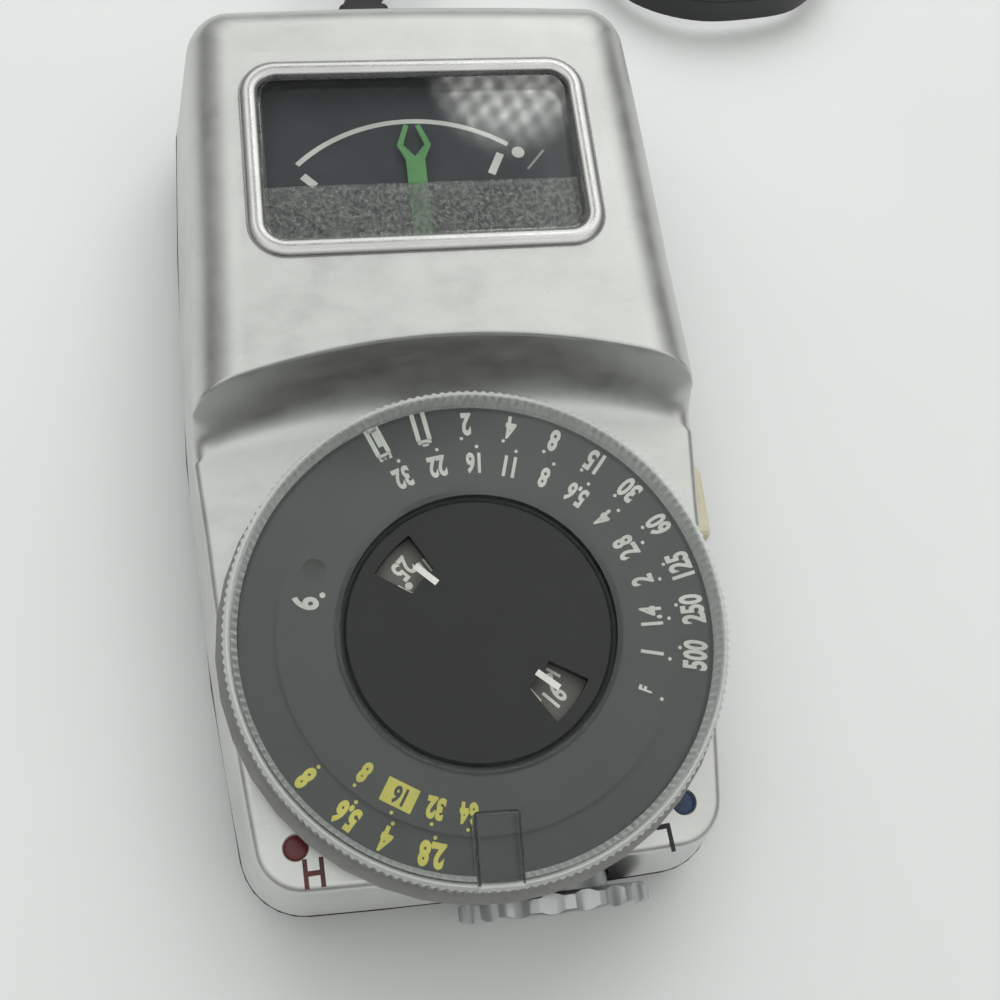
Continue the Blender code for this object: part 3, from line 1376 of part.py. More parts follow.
def wire(name, points, radius, look, resolution=1, parent=None):
    curve = bpy.data.curves.new(name, "CURVE")
    curve.dimensions = "3D"
    curve.bevel_depth = radius
    curve.bevel_resolution = resolution
    curve.use_fill_caps = True
    line = curve.splines.new("POLY")
    line.points.add(len(points) - 1)
    for point, spot in zip(line.points, points):
        point.co = (spot[0], spot[1], spot[2], 1.0)
    made = bpy.data.objects.new(name, curve)
    bpy.context.collection.objects.link(made)
    curve.materials.append(material(name, look[0], look[1], look[2]))
    if parent is not None:
        made.parent = parent
    return made


spring_from = block_high + gap + button["wire_r"]
spring_to = spring_end - button["wire_r"]
coil_points = []
for i in range(spring_turns * 6 + 1):
    share = i / (spring_turns * 6)
    turn = math.tau * spring_turns * share
    coil_points.append((spring_from + (spring_to - spring_from) * share,
                        button["y"] + button["spring_y"] + button["spring_r"] * math.cos(turn),
                        button["z"] + button["spring_r"] * math.sin(turn)))
wire("button_spring", coil_points, button["wire_r"], STEEL, resolution=0)

# battery, cap and contacts
cap_axis = axis_empty("cap_axis", battery_at)
cap_top = battery["cap_low"] + battery["cap_thick"]
cap = put("battery_cap", disc(battery["cap_r"], battery["cap_low"], cap_top, 36), BLACK, parent=cap_axis)
ear_low = floor_z + gap
cap_inside = ear_low + battery["ear_thick"]
join(cap, "cap_core", disc(battery["coil_wide"] + button["wire_r"] * 4, cap_top - sink, cap_inside, 24),
     battery_at)
join(cap, "cap_ears", block((-battery["ear_half"], -battery["ear_r"], ear_low),
                            (battery["ear_half"], battery["ear_r"], cap_inside)), battery_at)
slot_top = battery["cap_low"] + battery["slot_depth"]
cut(cap, "coin_slot", block((-battery["slot_reach"], -battery["slot_half"], -overrun),
                            (battery["slot_reach"], battery["slot_half"], slot_top)), battery_at)
cell_low = battery["low"] + gap
cell_top = cell_low + battery["thick"]
cell_step = cell_top - battery["shoulder"]
cell = [(0, cell_top), (battery["shoulder_r"], cell_top), (battery["shoulder_r"], cell_step),
        (battery["r"], cell_step), (battery["r"], cell_low), (0, cell_low)]
put("battery_cell", turned(cell, 24, closed=False), STEEL, battery_at)
spring_low = cap_inside + gap / 2 + button["wire_r"]
spring_high = cell_low - gap / 2 - button["wire_r"]
contact_points = []
for i in range(17):
    share = i / 16
    turn = math.tau * 2 * share
    reach = battery["coil_wide"] + (battery["coil_small"] - battery["coil_wide"]) * share
    contact_points.append((reach * math.cos(turn), reach * math.sin(turn),
                           spring_low + (spring_high - spring_low) * share))
wire("battery_spring", contact_points, button["wire_r"], STEEL, resolution=0, parent=cap_axis)

contact_high = chassis["z"] - gap
land_low = cell_top + gap
land_high = land_low + battery["contact_thick"]
lead = battery["contact_thick"] / 2
contact_low = contact_high - battery["contact_thick"]
contact_outline = [
    (battery["contact_from"], contact_high), (battery["contact_bend"], contact_high),
    (battery["contact_land"], land_high), (battery["contact_to"], land_high),
    (battery["contact_to"], land_low), (battery["contact_land"] - lead, land_low),
    (battery["contact_bend"] - lead, contact_low), (battery["contact_from"], contact_low),
]
contact = prism(contact_outline, -battery["contact_half"], battery["contact_half"])
for vert in contact.verts:
    vert.co = Vector((vert.co.z, vert.co.x, vert.co.y))
put("battery_contact", contact, BRASS, battery_at)

zero_axis = axis_empty("zero_axis", zero_at)
zero_top = zero["low"] + zero["head_thick"]
shank_top = chassis["z"] + chassis["thick"] - gap
zero_profile = [(0, shank_top), (zero["shank_r"], shank_top), (zero["shank_r"], zero_top),
                (zero["head_r"], zero_top), (zero["head_r"], zero["low"]), (0, zero["low"])]
zero_screw = put("zero_screw", turned(zero_profile, 16, closed=False), STEEL, parent=zero_axis)
zero_reach = zero["head_r"] + overrun
cut(zero_screw, "zero_slot", block((-zero_reach, -zero["slot_half"], -overrun),
                                   (zero_reach, zero["slot_half"], zero["low"] + zero["slot_depth"])),
    zero_at)

# strap lug, sewn end, keeper and strap
lug_root = half_length - body["end_bow"] - draft_share * (strap["z"] - body["seam_z"]) - body["wall"] - gap
lug_end = half_length + strap["lug_reach"]
half, head = strap["lug_half"], strap["lug_half"] + strap["lug_head"]
lug_outline = [
    (-head, lug_root - strap["head_deep"]), (head, lug_root - strap["head_deep"]), (head, lug_root),
    (half, lug_root), (half, lug_end - half / 3), (half - half / 3, lug_end),
    (-half + half / 3, lug_end), (-half, lug_end - half / 3), (-half, lug_root), (-head, lug_root),
]
lug_low = strap["z"] - strap["lug_thick"] / 2
lug_top = strap["z"] + strap["lug_thick"] / 2
lug = put("strap_lug", prism(lug_outline, lug_low, lug_top), STEEL, (strap["x"], 0, 0))
bar_y = lug_end - strap["lug_bar"]
cut(lug, "lug_slot", block((-strap["width"] / 2 - gap, bar_y - strap["lug_slot"], lug_low - overrun),
                           (strap["width"] / 2 + gap, bar_y, lug_top + overrun)), (strap["x"], 0, 0))

band_turn_y = bar_y - strap["lug_slot"] / 2 + strap["leg_rise"]
band_outer, band_inner = [], []
for step in range(9):
    turn = math.radians(90 + 180 * step / 8)
    for store, reach in ((band_outer, strap["leg_rise"] + strap["thick"] / 2),
                         (band_inner, strap["leg_rise"] - strap["thick"] / 2)):
        store.append((band_turn_y + reach * math.cos(turn), strap["z"] + reach * math.sin(turn)))
outer_reach = strap["leg_rise"] + strap["thick"] / 2
inner_reach = strap["leg_rise"] - strap["thick"] / 2
band_outline = ([(strap["leg_end"], strap["z"] + outer_reach)] + band_outer +
                [(strap["leg_end"], strap["z"] - outer_reach), (strap["leg_end"], strap["z"] - inner_reach)] +
                band_inner[::-1] + [(strap["leg_end"], strap["z"] + inner_reach)])
band = prism(band_outline, strap["x"] - strap["width"] / 2, strap["x"] + strap["width"] / 2)
for vert in band.verts:
    vert.co = Vector((vert.co.z, vert.co.x, vert.co.y))
put("strap_end", band, BLACK)

keeper_in_x = strap["width"] / 2 + gap
keeper_in_z = outer_reach + gap
keeper_loops = []
for extra, y in ((strap["keeper_wall"], 0.0), (strap["keeper_wall"], strap["keeper_long"]),
                 (0.0, strap["keeper_long"]), (0.0, 0.0)):
    outline = rounded(keeper_in_x + extra, keeper_in_z + extra, extra + gap, 3, strap["x"], strap["z"])
    keeper_loops.append([(x, strap["keeper_y"] + y, z) for x, z in outline])
put("strap_keeper", loft(keeper_loops, ring=True), BLACK)


def smooth_route(points, step):
    # Catmull-Rom curve through the route's points, read at even steps
    path = [Vector(point) for point in points]
    dense = []
    for i in range(len(path) - 1):
        before = path[i - 1] if i else path[0] * 2 - path[1]
        after = path[i + 2] if i + 2 < len(path) else path[-1] * 2 - path[-2]
        a, b = path[i], path[i + 1]
        for k in range(20):
            t = k / 20
            dense.append(0.5 * (2 * a + (b - before) * t + (2 * before - 5 * a + 4 * b - after) * t * t +
                                (3 * a - before - 3 * b + after) * t ** 3))
    dense.append(path[-1])
    total = sum((b - a).length for a, b in zip(dense[:-1], dense[1:]))
    count = max(2, round(total / step))
    found, walked, target = [dense[0]], 0.0, total / count
    for a, b in zip(dense[:-1], dense[1:]):
        length = (b - a).length
        while walked + length >= target * len(found) and len(found) < count:
            found.append(a.lerp(b, (target * len(found) - walked) / length))
        walked += length
    found.append(dense[-1])
    return found, total


# both ends run straight out of the keeper before the curve starts
strap_route = [(x * MM, half_length + y * MM, z * MM) for x, y, z in strap_route_mm]
strap_points, strap_length = smooth_route(strap_route[1:-1], strap["width"] * 2)
strap_points = [Vector(strap_route[0])] + strap_points + [Vector(strap_route[-1])]
strap_length += (strap_points[1] - strap_points[0]).length + (strap_points[-1] - strap_points[-2]).length
wire("wrist_strap", strap_points, strap["width"] / 2, BLACK, resolution=2)
print("strap length %.4f m, %d points" % (strap_length, len(strap_points)))
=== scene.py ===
import math

import bmesh
import bpy
from mathutils import Matrix, Vector


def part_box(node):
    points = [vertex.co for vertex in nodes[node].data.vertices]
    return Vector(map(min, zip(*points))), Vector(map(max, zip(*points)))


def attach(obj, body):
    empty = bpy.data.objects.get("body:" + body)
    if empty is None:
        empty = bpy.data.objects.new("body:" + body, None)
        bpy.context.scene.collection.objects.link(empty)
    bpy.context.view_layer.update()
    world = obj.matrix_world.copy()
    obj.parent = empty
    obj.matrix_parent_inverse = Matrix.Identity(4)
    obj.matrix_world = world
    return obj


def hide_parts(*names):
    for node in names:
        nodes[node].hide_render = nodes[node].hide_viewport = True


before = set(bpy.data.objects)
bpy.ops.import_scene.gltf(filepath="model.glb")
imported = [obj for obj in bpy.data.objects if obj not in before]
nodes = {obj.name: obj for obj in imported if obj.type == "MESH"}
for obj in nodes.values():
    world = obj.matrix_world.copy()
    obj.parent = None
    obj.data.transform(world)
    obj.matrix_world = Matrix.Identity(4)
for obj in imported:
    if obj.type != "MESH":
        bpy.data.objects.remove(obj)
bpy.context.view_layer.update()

mm = 0.001
weldReach = 0.002 * mm
dialAt = Vector((0.0, -28.4 * mm))
needleAt = Vector((-1.3 * mm, 14.6 * mm))
print("light meter: packed frame loaded")

# camera, taken from where the picture was made
cameraView = {
    "place": (-16.526, -55.151, 150.530),
    "across": (0.98513, -0.12006, 0.12291),
    "up": (0.07451, 0.9431, 0.32406),
    "back": (-0.15482, -0.31008, 0.93802),
    "lens": 43.2,
    "sensor": 36.0,
    "nearest": 0.005,
    "farthest": 20.0,
}


def makeCamera():
    bpy.ops.object.camera_add()
    camera = bpy.context.object
    camera.name = "pictureCamera"
    across, up, back = (Vector(cameraView[key]).normalized() for key in ("across", "up", "back"))
    turn = Matrix((across, up, back)).transposed().to_4x4()
    camera.matrix_world = Matrix.Translation(Vector(cameraView["place"]) * mm) @ turn
    camera.data.lens = cameraView["lens"]
    camera.data.sensor_width = cameraView["sensor"]
    camera.data.clip_start = cameraView["nearest"]
    camera.data.clip_end = cameraView["farthest"]
    bpy.context.scene.camera = camera


makeCamera()


# small helpers for working by hand
def clearSelection():
    if bpy.context.mode != "OBJECT":
        bpy.ops.object.mode_set(mode="OBJECT")
    bpy.ops.object.select_all(action="DESELECT")


def pickOnly(piece):
    clearSelection()
    piece.select_set(True)
    bpy.context.view_layer.objects.active = piece


def openEdit():
    bpy.ops.object.mode_set(mode="EDIT")
    bpy.ops.mesh.select_all(action="SELECT")


def closeEdit():
    # faces are turned outwards on the way out
    bpy.ops.mesh.select_all(action="SELECT")
    bpy.ops.mesh.normals_make_consistent(inside=False)
    bpy.ops.object.mode_set(mode="OBJECT")


def raiseFaces(height):
    bpy.ops.mesh.extrude_region_move(TRANSFORM_OT_translate={"value": (0, 0, height)})


def chooseCorners(piece, test):
    # leaves the piece in edit mode, with vertices chosen by their place
    pickOnly(piece)
    bpy.ops.object.mode_set(mode="EDIT")
    bpy.ops.mesh.select_mode(type="VERT")
    bpy.ops.mesh.select_all(action="DESELECT")
    bpy.ops.object.mode_set(mode="OBJECT")
    for corner in piece.data.vertices:
        corner.select = test(corner.co)
    bpy.ops.object.mode_set(mode="EDIT")


def settlePlace(piece):
    pickOnly(piece)
    bpy.ops.object.transform_apply(location=True, rotation=True, scale=True)


def softenEdges(piece, width, segments=2, angle=30):
    pickOnly(piece)
    bpy.ops.object.modifier_add(type="BEVEL")
    bevel = piece.modifiers[-1]
    bevel.width = width
    bevel.segments = segments
    bevel.limit_method = "ANGLE"
    bevel.angle_limit = math.radians(angle)
    bpy.ops.object.modifier_apply(modifier=bevel.name)


def takeAway(piece, cutter, operation="DIFFERENCE"):
    pickOnly(piece)
    bpy.ops.object.modifier_add(type="BOOLEAN")
    carve = piece.modifiers[-1]
    carve.operation = operation
    carve.solver = "EXACT"
    carve.object = cutter
    bpy.ops.object.modifier_apply(modifier=carve.name)
    bpy.data.objects.remove(cutter, do_unlink=True)


def joinPieces(parts):
    clearSelection()
    for part in parts:
        part.select_set(True)
    bpy.context.view_layer.objects.active = parts[0]
    if len(parts) > 1:
        bpy.ops.object.join()
    return bpy.context.object


def finishPiece(piece, name, finish, body, stands=(), smooth=35):
    # a list of parts becomes one piece
    if isinstance(piece, list):
        piece = joinPieces(piece)
    settlePlace(piece)
    piece.name = name
    piece.data.name = name
    piece.data.materials.clear()
    piece.data.materials.append(finish)
    bpy.ops.object.shade_smooth_by_angle(angle=math.radians(smooth))
    bpy.ops.object.modifier_add(type="WEIGHTED_NORMAL")
    evened = piece.modifiers[-1]
    evened.keep_sharp = True
    bpy.ops.object.modifier_apply(modifier=evened.name)
    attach(piece, body)
    if stands:
        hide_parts(*stands)


def meshPiece(mesh, name):
    bmesh.ops.recalc_face_normals(mesh, faces=mesh.faces[:])
    data = bpy.data.meshes.new(name)
    mesh.to_mesh(data)
    mesh.free()
    piece = bpy.data.objects.new(name, data)
    bpy.context.scene.collection.objects.link(piece)
    return piece


def wrapFaces(mesh, lower, upper):
    # a closed band of faces between two loops
    for i in range(len(lower)):
        j = (i + 1) % len(lower)
        mesh.faces.new((lower[i], lower[j], upper[j], upper[i]))


def roundRod(radius, length, middle, corners=48, turn=(0, 0, 0)):
    clearSelection()
    bpy.ops.mesh.primitive_cylinder_add(vertices=corners, radius=radius, depth=length, location=middle,
                                        rotation=turn)
    return bpy.context.object


def squareRod(size, middle, turn=0.0):
    clearSelection()
    bpy.ops.mesh.primitive_cube_add(size=1.0, location=middle, rotation=(0, 0, turn))
    rod = bpy.context.object
    rod.scale = size
    settlePlace(rod)
    return rod


def drawnOutline(points, fill="NOTHING"):
    # a circle whose vertices are moved to the given places
    clearSelection()
    bpy.ops.mesh.primitive_circle_add(vertices=len(points), radius=mm, fill_type=fill, location=(0, 0, 0))
    outline = bpy.context.object
    for corner, place in zip(outline.data.vertices, points):
        corner.co = place
    return outline


def spunPiece(section, middle=(0, 0, 0), steps=96):
    # a closed section of (radius, height) points, spun once round the upright axis
    piece = drawnOutline([(radius, 0, height) for radius, height in section])
    openEdit()
    bpy.ops.mesh.spin(steps=steps, angle=math.tau, center=(0, 0, 0), axis=(0, 0, 1))
    bpy.ops.mesh.select_all(action="SELECT")
    bpy.ops.mesh.remove_doubles(threshold=weldReach)
    bpy.ops.mesh.delete_loose(use_verts=True, use_edges=True, use_faces=False)
    closeEdit()
    piece.location = middle
    settlePlace(piece)
    return piece


def sweptBar(reaches, levels, span, steps, middle):
    # a four-sided section swept from one angle to the other round the upright axis through middle
    (inner, outer), (low, high) = reaches, levels
    turn = math.radians(span[0])
    section = [(inner, low), (outer, low), (outer, high), (inner, high)]
    piece = drawnOutline([(reach * math.cos(turn), reach * math.sin(turn), z) for reach, z in section])
    openEdit()
    bpy.ops.mesh.spin(steps=steps, angle=-math.radians(span[1] - span[0]), center=(0, 0, 0), axis=(0, 0, 1))
    bpy.ops.mesh.select_all(action="SELECT")
    bpy.ops.mesh.fill_holes(sides=0)
    closeEdit()
    piece.location = (middle[0], middle[1], 0)
    settlePlace(piece)
    return piece


# materials
def setInputs(tree, node, values):
    # a socket among the values is linked, and anything else is set
    for key, value in values.items():
        if isinstance(value, bpy.types.NodeSocket):
            tree.links.new(value, node.inputs[key])
        else:
            node.inputs[key].default_value = value


def addNode(tree, kind, values=None):
    node = tree.nodes.new("ShaderNode" + kind)
    setInputs(tree, node, values or {})
    return node


def newFinish(name, colour, roughness, metallic=0.0):
    finish = bpy.data.materials.new(name)
    finish.use_nodes = True
    finish.diffuse_color = (*colour, 1.0)
    tree = finish.node_tree
    shader = tree.nodes["Principled BSDF"]
    setInputs(tree, shader, {"Base Color": (*colour, 1.0), "Roughness": roughness, "Metallic": metallic})
    return finish, tree, shader


def combined(tree, operation, first, second):
    step = addNode(tree, "Math", {0: first, 1: second})
    step.operation = operation
    return step.outputs[0]


def grain(tree, size, stretch=(1.0, 1.0, 1.0), detail=3.0, rough=0.55, turn=0.0):
    # noise on the piece's own coordinates; size is the width of one grain in millimetres
    place = addNode(tree, "TexCoord")
    scale = tuple(1.0 / (size * mm * part) for part in stretch)
    mapping = addNode(tree, "Mapping", {"Vector": place.outputs["Object"], "Rotation": (0.0, 0.0, turn),
                                        "Scale": scale})
    noise = addNode(tree, "TexNoise", {"Vector": mapping.outputs["Vector"], "Scale": 1.0, "Detail": detail,
                                       "Roughness": rough})
    return noise.outputs["Fac"]


def between(tree, share, low, high, fromShare=0.3, toShare=0.7):
    spread = addNode(tree, "MapRange", {"Value": share, "From Min": fromShare, "From Max": toShare,
                                        "To Min": low, "To Max": high})
    return spread.outputs["Result"]


def colourRamp(tree, share, stops):
    ramp = addNode(tree, "ValToRGB", {"Fac": share})
    elements = ramp.color_ramp.elements
    for element, (position, colour) in zip(elements, (stops[0], stops[-1])):
        element.position = position
        element.color = (*colour, 1.0)
    for position, colour in stops[1:-1]:
        elements.new(position).color = (*colour, 1.0)
    return ramp.outputs["Color"]


def scaledColour(colour, factor):
    return tuple(min(1.0, part * factor) for part in colour)


def cloudedColour(tree, colour, size, dark, light, detail=2.0):
    # soft clouds, from the colour times dark to the colour times light
    stops = [(0.3, scaledColour(colour, dark)), (0.7, scaledColour(colour, light))]
    return colourRamp(tree, grain(tree, size, detail=detail), stops)


def around(tree, share, middle, spread):
    return between(tree, share, middle - spread, middle + spread)


def addBump(tree, shader, share, depth, strength=0.5):
    # depth in millimetres
    bump = addNode(tree, "Bump", {"Strength": strength, "Distance": depth * mm, "Height": share})
    earlier = shader.inputs["Normal"].links
    if earlier:
        tree.links.new(earlier[0].from_socket, bump.inputs["Normal"])
    tree.links.new(bump.outputs["Normal"], shader.inputs["Normal"])


def satinMetal(name, colour, roughness, streak, along, depth=0.01, metallic=1.0, spread=0.08):
    finish, tree, shader = newFinish(name, colour, roughness, metallic)
    lines = grain(tree, streak, along, detail=4.0)
    setInputs(tree, shader, {"Base Color": cloudedColour(tree, colour, 6, 0.94, 1.04),
                             "Roughness": around(tree, lines, roughness, spread)})
    addBump(tree, shader, lines, depth, 0.35)
    return finish


def plainPlastic(name, colour, roughness, size=0.25, depth=0.01, spread=0.08, gloss=0.5):
    finish, tree, shader = newFinish(name, colour, roughness)
    fine = grain(tree, size)
    setInputs(tree, shader, {"Specular IOR Level": gloss,
                             "Base Color": cloudedColour(tree, colour, 4, 0.88, 1.1),
                             "Roughness": around(tree, fine, roughness, spread)})
    addBump(tree, shader, fine, depth, 0.4)
    return finish


def inkFinish(name, colour):
    return plainPlastic(name, colour, 0.6, 0.1, 0.002)


def brushedCasing(name, colour, roughness):
    # worn satin plate: fine streaks across the case, soft mottling and a few small specks
    finish, tree, shader = newFinish(name, colour, roughness, 0.92)
    streaks = grain(tree, 0.11, (26.0, 1.0, 3.0), detail=4.0)
    mottle = grain(tree, 2.6, (1.6, 1.0, 1.0), detail=5.0, rough=0.62)
    cloud = grain(tree, 11, detail=2.0)
    specks = grain(tree, 0.3, detail=1.0)
    share = combined(tree, "ADD", between(tree, mottle, -0.35, 0.35), between(tree, cloud, 0.2, 0.8))
    tint = colourRamp(tree, share, [(0.0, scaledColour(colour, 0.88)), (0.5, colour),
                                    (1.0, scaledColour(colour, 1.06))])
    dulled = addNode(tree, "MixRGB", {"Fac": between(tree, specks, 0.5, 0.0, 0.2, 0.27), "Color1": tint,
                                      "Color2": (*scaledColour(colour, 0.6), 1.0)})
    setInputs(tree, shader, {"Base Color": dulled.outputs["Color"],
                             "Roughness": around(tree, mottle, roughness, 0.06)})
    addBump(tree, shader, streaks, 0.006, 0.3)
    addBump(tree, shader, mottle, 0.02, 0.25)
    return finish


clearPlastic = {
    "bend": 1.49,
    "passes": (0.86, 0.88, 0.88, 1.0),
    "cloudy": 0.46,
    "cloudyOver": 0.4 * mm,
    "wear": 0.5,
    "ripple": 2.5,
}


def milkyRim(tree, radius):
    # share of light let through: clear inside the given radius from the dial's axis, cloudy outside it
    place = addNode(tree, "TexCoord")
    shift = addNode(tree, "VectorMath", {0: place.outputs["Object"], 1: (1.0, 1.0, 0.0)})
    shift.operation = "MULTIPLY_ADD"
    shift.inputs[2].default_value = (-dialAt.x, -dialAt.y, 0.0)
    reach = addNode(tree, "VectorMath", {0: shift.outputs["Vector"]})
    reach.operation = "LENGTH"
    outside = radius + clearPlastic["cloudyOver"]
    return between(tree, reach.outputs["Value"], 1.0, clearPlastic["cloudy"], radius, outside)


def clearMoulding(name, colour, roughness, ripple, milky=0.0, clearness=1.0):
    # clear plastic with fine wear; lamps reach what lies under it
    finish, tree, shader = newFinish(name, colour, roughness)
    wear = grain(tree, clearPlastic["wear"], (1.0, 6.0, 1.0), detail=5.0, turn=0.6)
    setInputs(tree, shader, {"Transmission Weight": clearness, "IOR": clearPlastic["bend"],
                             "Roughness": between(tree, wear, roughness * 0.6, roughness * 1.8)})
    if milky:
        setInputs(tree, shader, {"Transmission Weight": milkyRim(tree, milky)})
    addBump(tree, shader, grain(tree, clearPlastic["ripple"], detail=2.0), ripple)
    path = addNode(tree, "LightPath")
    through = addNode(tree, "BsdfTransparent", {"Color": clearPlastic["passes"]})
    mix = addNode(tree, "MixShader", {0: path.outputs["Is Shadow Ray"], 1: shader.outputs["BSDF"],
                                      2: through.outputs["BSDF"]})
    tree.links.new(mix.outputs["Shader"], tree.nodes["Material Output"].inputs["Surface"])
    return finish


def frostedFinish():
    # thin grey film that what lies under it shows through dimly
    finish, tree, shader = newFinish("frostedFilm", (0.1, 0.105, 0.1), 0.5)
    speck = grain(tree, 0.5, rough=0.85)
    cloud = grain(tree, 2.2, detail=2.0)
    tint = colourRamp(tree, speck, [(0.35, (0.045, 0.047, 0.045)), (0.5, (0.145, 0.15, 0.142)),
                                    (0.65, (0.34, 0.34, 0.325))])
    cover = combined(tree, "ADD", between(tree, speck, -0.2, 0.2), between(tree, cloud, 0.24, 0.46))
    setInputs(tree, shader, {"Base Color": tint, "Alpha": cover})
    addBump(tree, shader, speck, 0.01)
    return finish


def wovenFinish():
    # black tape with a fine diagonal weave that follows the band
    finish, tree, shader = newFinish("strapWeave", (0.014, 0.014, 0.017), 0.55)
    place = addNode(tree, "UVMap")
    mapping = addNode(tree, "Mapping", {"Vector": place.outputs["UV"], "Scale": (2600.0, 2600.0, 1.0)})
    wave = addNode(tree, "TexWave", {"Vector": mapping.outputs["Vector"], "Scale": 1.0, "Distortion": 0.6,
                                     "Detail": 1.0})
    wave.bands_direction = "DIAGONAL"
    weave = wave.outputs["Fac"]
    tint = colourRamp(tree, weave, [(0.1, (0.008, 0.008, 0.011)), (0.9, (0.019, 0.02, 0.025))])
    setInputs(tree, shader, {"Base Color": tint, "Sheen Weight": 0.15,
                             "Roughness": between(tree, weave, 0.62, 0.42, 0.0, 1.0)})
    addBump(tree, shader, weave, 0.03, 0.4)
    return finish


# colour and roughness, then the grain in millimetres: its width, a metal's stretch, and its depth
casingSilver = brushedCasing("casingSilver", (0.68, 0.685, 0.675), 0.4)
beadSilver = satinMetal("beadSilver", (0.7, 0.7, 0.7), 0.27, 1.6, (1.0, 1.0, 1.0), 0.0004, 0.95, 0.03)
# the base ring under the dial is dark grey: painted shade for the shadow on the plateau round the dial
shadedBaseMetal = satinMetal("shadedBaseMetal", (0.24, 0.24, 0.235), 0.45, 0.1, (4.0, 4.0, 1.0))
ringSilver = satinMetal("ringSilver", (0.5, 0.51, 0.52), 0.42, 0.08, (1.0, 8.0, 1.0))
steelFinish = satinMetal("steelFinish", (0.55, 0.55, 0.56), 0.28, 0.1, (5.0, 1.0, 1.0))
brassFinish = satinMetal("brassFinish", (0.62, 0.47, 0.22), 0.32, 0.12, (4.0, 1.0, 1.0))
copperFinish = satinMetal("copperFinish", (0.6, 0.26, 0.12), 0.35, 0.1, (1.0, 1.0, 6.0))
magnetGrey = satinMetal("magnetGrey", (0.22, 0.22, 0.23), 0.5, 0.3, (1.0, 1.0, 1.0))
coverBlack = plainPlastic("coverBlack", (0.018, 0.018, 0.02), 0.5, 0.2, 0.02)
plateGrey = plainPlastic("plateGrey", (0.052, 0.059, 0.066), 0.6, 0.15, 0.001, gloss=0.2)
discDark = plainPlastic("discDark", (0.027, 0.032, 0.033), 0.6, 0.4, 0.001, 0.04)
discInner = plainPlastic("discInner", (0.031, 0.036, 0.037), 0.6, 0.4, 0.001, 0.04)
centreBlack = plainPlastic("centreBlack", (0.01, 0.012, 0.012), 0.36, 0.4, 0.001, 0.05)
speedBlack = plainPlastic("speedBlack", (0.12, 0.118, 0.108), 0.6, 0.15, 0.004)
boardBrown = plainPlastic("boardBrown", (0.2, 0.1, 0.035), 0.5)
resistorTan = plainPlastic("resistorTan", (0.42, 0.3, 0.17), 0.45)
trimmerBlue = plainPlastic("trimmerBlue", (0.05, 0.12, 0.3), 0.45)
cellAmber = plainPlastic("cellAmber", (0.5, 0.3, 0.08), 0.3)
trackBlack = plainPlastic("trackBlack", (0.02, 0.02, 0.02), 0.7)
ivoryFinish = plainPlastic("ivoryFinish", (0.66, 0.6, 0.46), 0.42, 0.3, 0.006)
redEnamel = plainPlastic("redEnamel", (0.14, 0.022, 0.026), 0.3, 0.3, 0.006)
blueEnamel = plainPlastic("blueEnamel", (0.02, 0.045, 0.11), 0.3, 0.3, 0.006)
needleGreen = plainPlastic("needleGreen", (0.12, 0.33, 0.12), 0.5, 0.2, 0.004)
strapTip = plainPlastic("strapTip", (0.016, 0.016, 0.018), 0.42, 0.35, 0.03)
whitePrint = inkFinish("whitePrint", (0.72, 0.73, 0.68))
dimPrint = inkFinish("dimPrint", (0.66, 0.65, 0.6))
faintPrint = inkFinish("faintPrint", (0.34, 0.33, 0.31))
yellowPrint = inkFinish("yellowPrint", (0.68, 0.61, 0.1))
darkRedPrint = inkFinish("darkRedPrint", (0.11, 0.035, 0.035))
darkPrint = inkFinish("darkPrint", (0.02, 0.022, 0.03))
windowClear = clearMoulding("windowClear", (0.97, 0.98, 0.98), 0.02, 0.0015)
dialClear = clearMoulding("dialClear", (0.9, 0.92, 0.91), 0.04, 0.002, milky=25.7 * mm)
# dark tint for the sides of the dial's tab: painted shade
tabEdgeShade = clearMoulding("tabEdgeShade", (0.3, 0.32, 0.31), 0.2, 0.004)
# pale, half clear sides of the pane: painted highlight for the bright streaks along its thick edges
paneEdgeHighlight = clearMoulding("paneEdgeHighlight", (0.8, 0.78, 0.72), 0.5, 0.01, clearness=0.55)
lensClear = clearMoulding("lensClear", (0.85, 0.88, 0.86), 0.12, 0.004)
frostedFilm = frostedFinish()
strapWeave = wovenFinish()
print("materials made")

# wrist strap: first of the pieces, because its room outside the picture is measured
strapSizes = {
    "width": 4.6 * mm,
    "thick": 1.0 * mm,
    "round": 0.35 * mm,
    "twistOver": 26.0 * mm,
    "step": 1.6 * mm,
    "corners": 3,
    "curveSteps": 20,
}
strapRoute = [
    (-4.4, 62.9, 14.4), (-4.4, 67.5, 14.4), (-5.6, 74.0, 13.0), (-7.6, 81.5, 9.2), (-6.8, 90.0, 5.2),
    (-0.6, 96.6, 2.9), (9.0, 98.9, 2.6), (24.0, 98.9, 2.6), (36.0, 98.9, 2.6), (48.0, 98.9, 2.6),
    (58.6, 98.6, 2.6), (65.4, 96.8, 2.6), (70.3, 91.9, 2.7), (72.1, 85.1, 2.9), (70.3, 78.3, 3.2),
    (65.4, 73.4, 3.6), (58.6, 71.4, 4.0), (48.5, 70.9, 4.2), (39.8, 74.6, 3.6), (33.6, 82.0, 2.9),
    (26.8, 88.8, 2.6), (17.0, 90.8, 2.9), (8.4, 86.8, 4.2), (3.0, 79.8, 6.3), (-1.2, 73.2, 8.6),
    (-4.4, 67.5, 9.55), (-4.4, 62.9, 9.55),
]


def stretches(path):
    return list(zip(path[:-1], path[1:]))


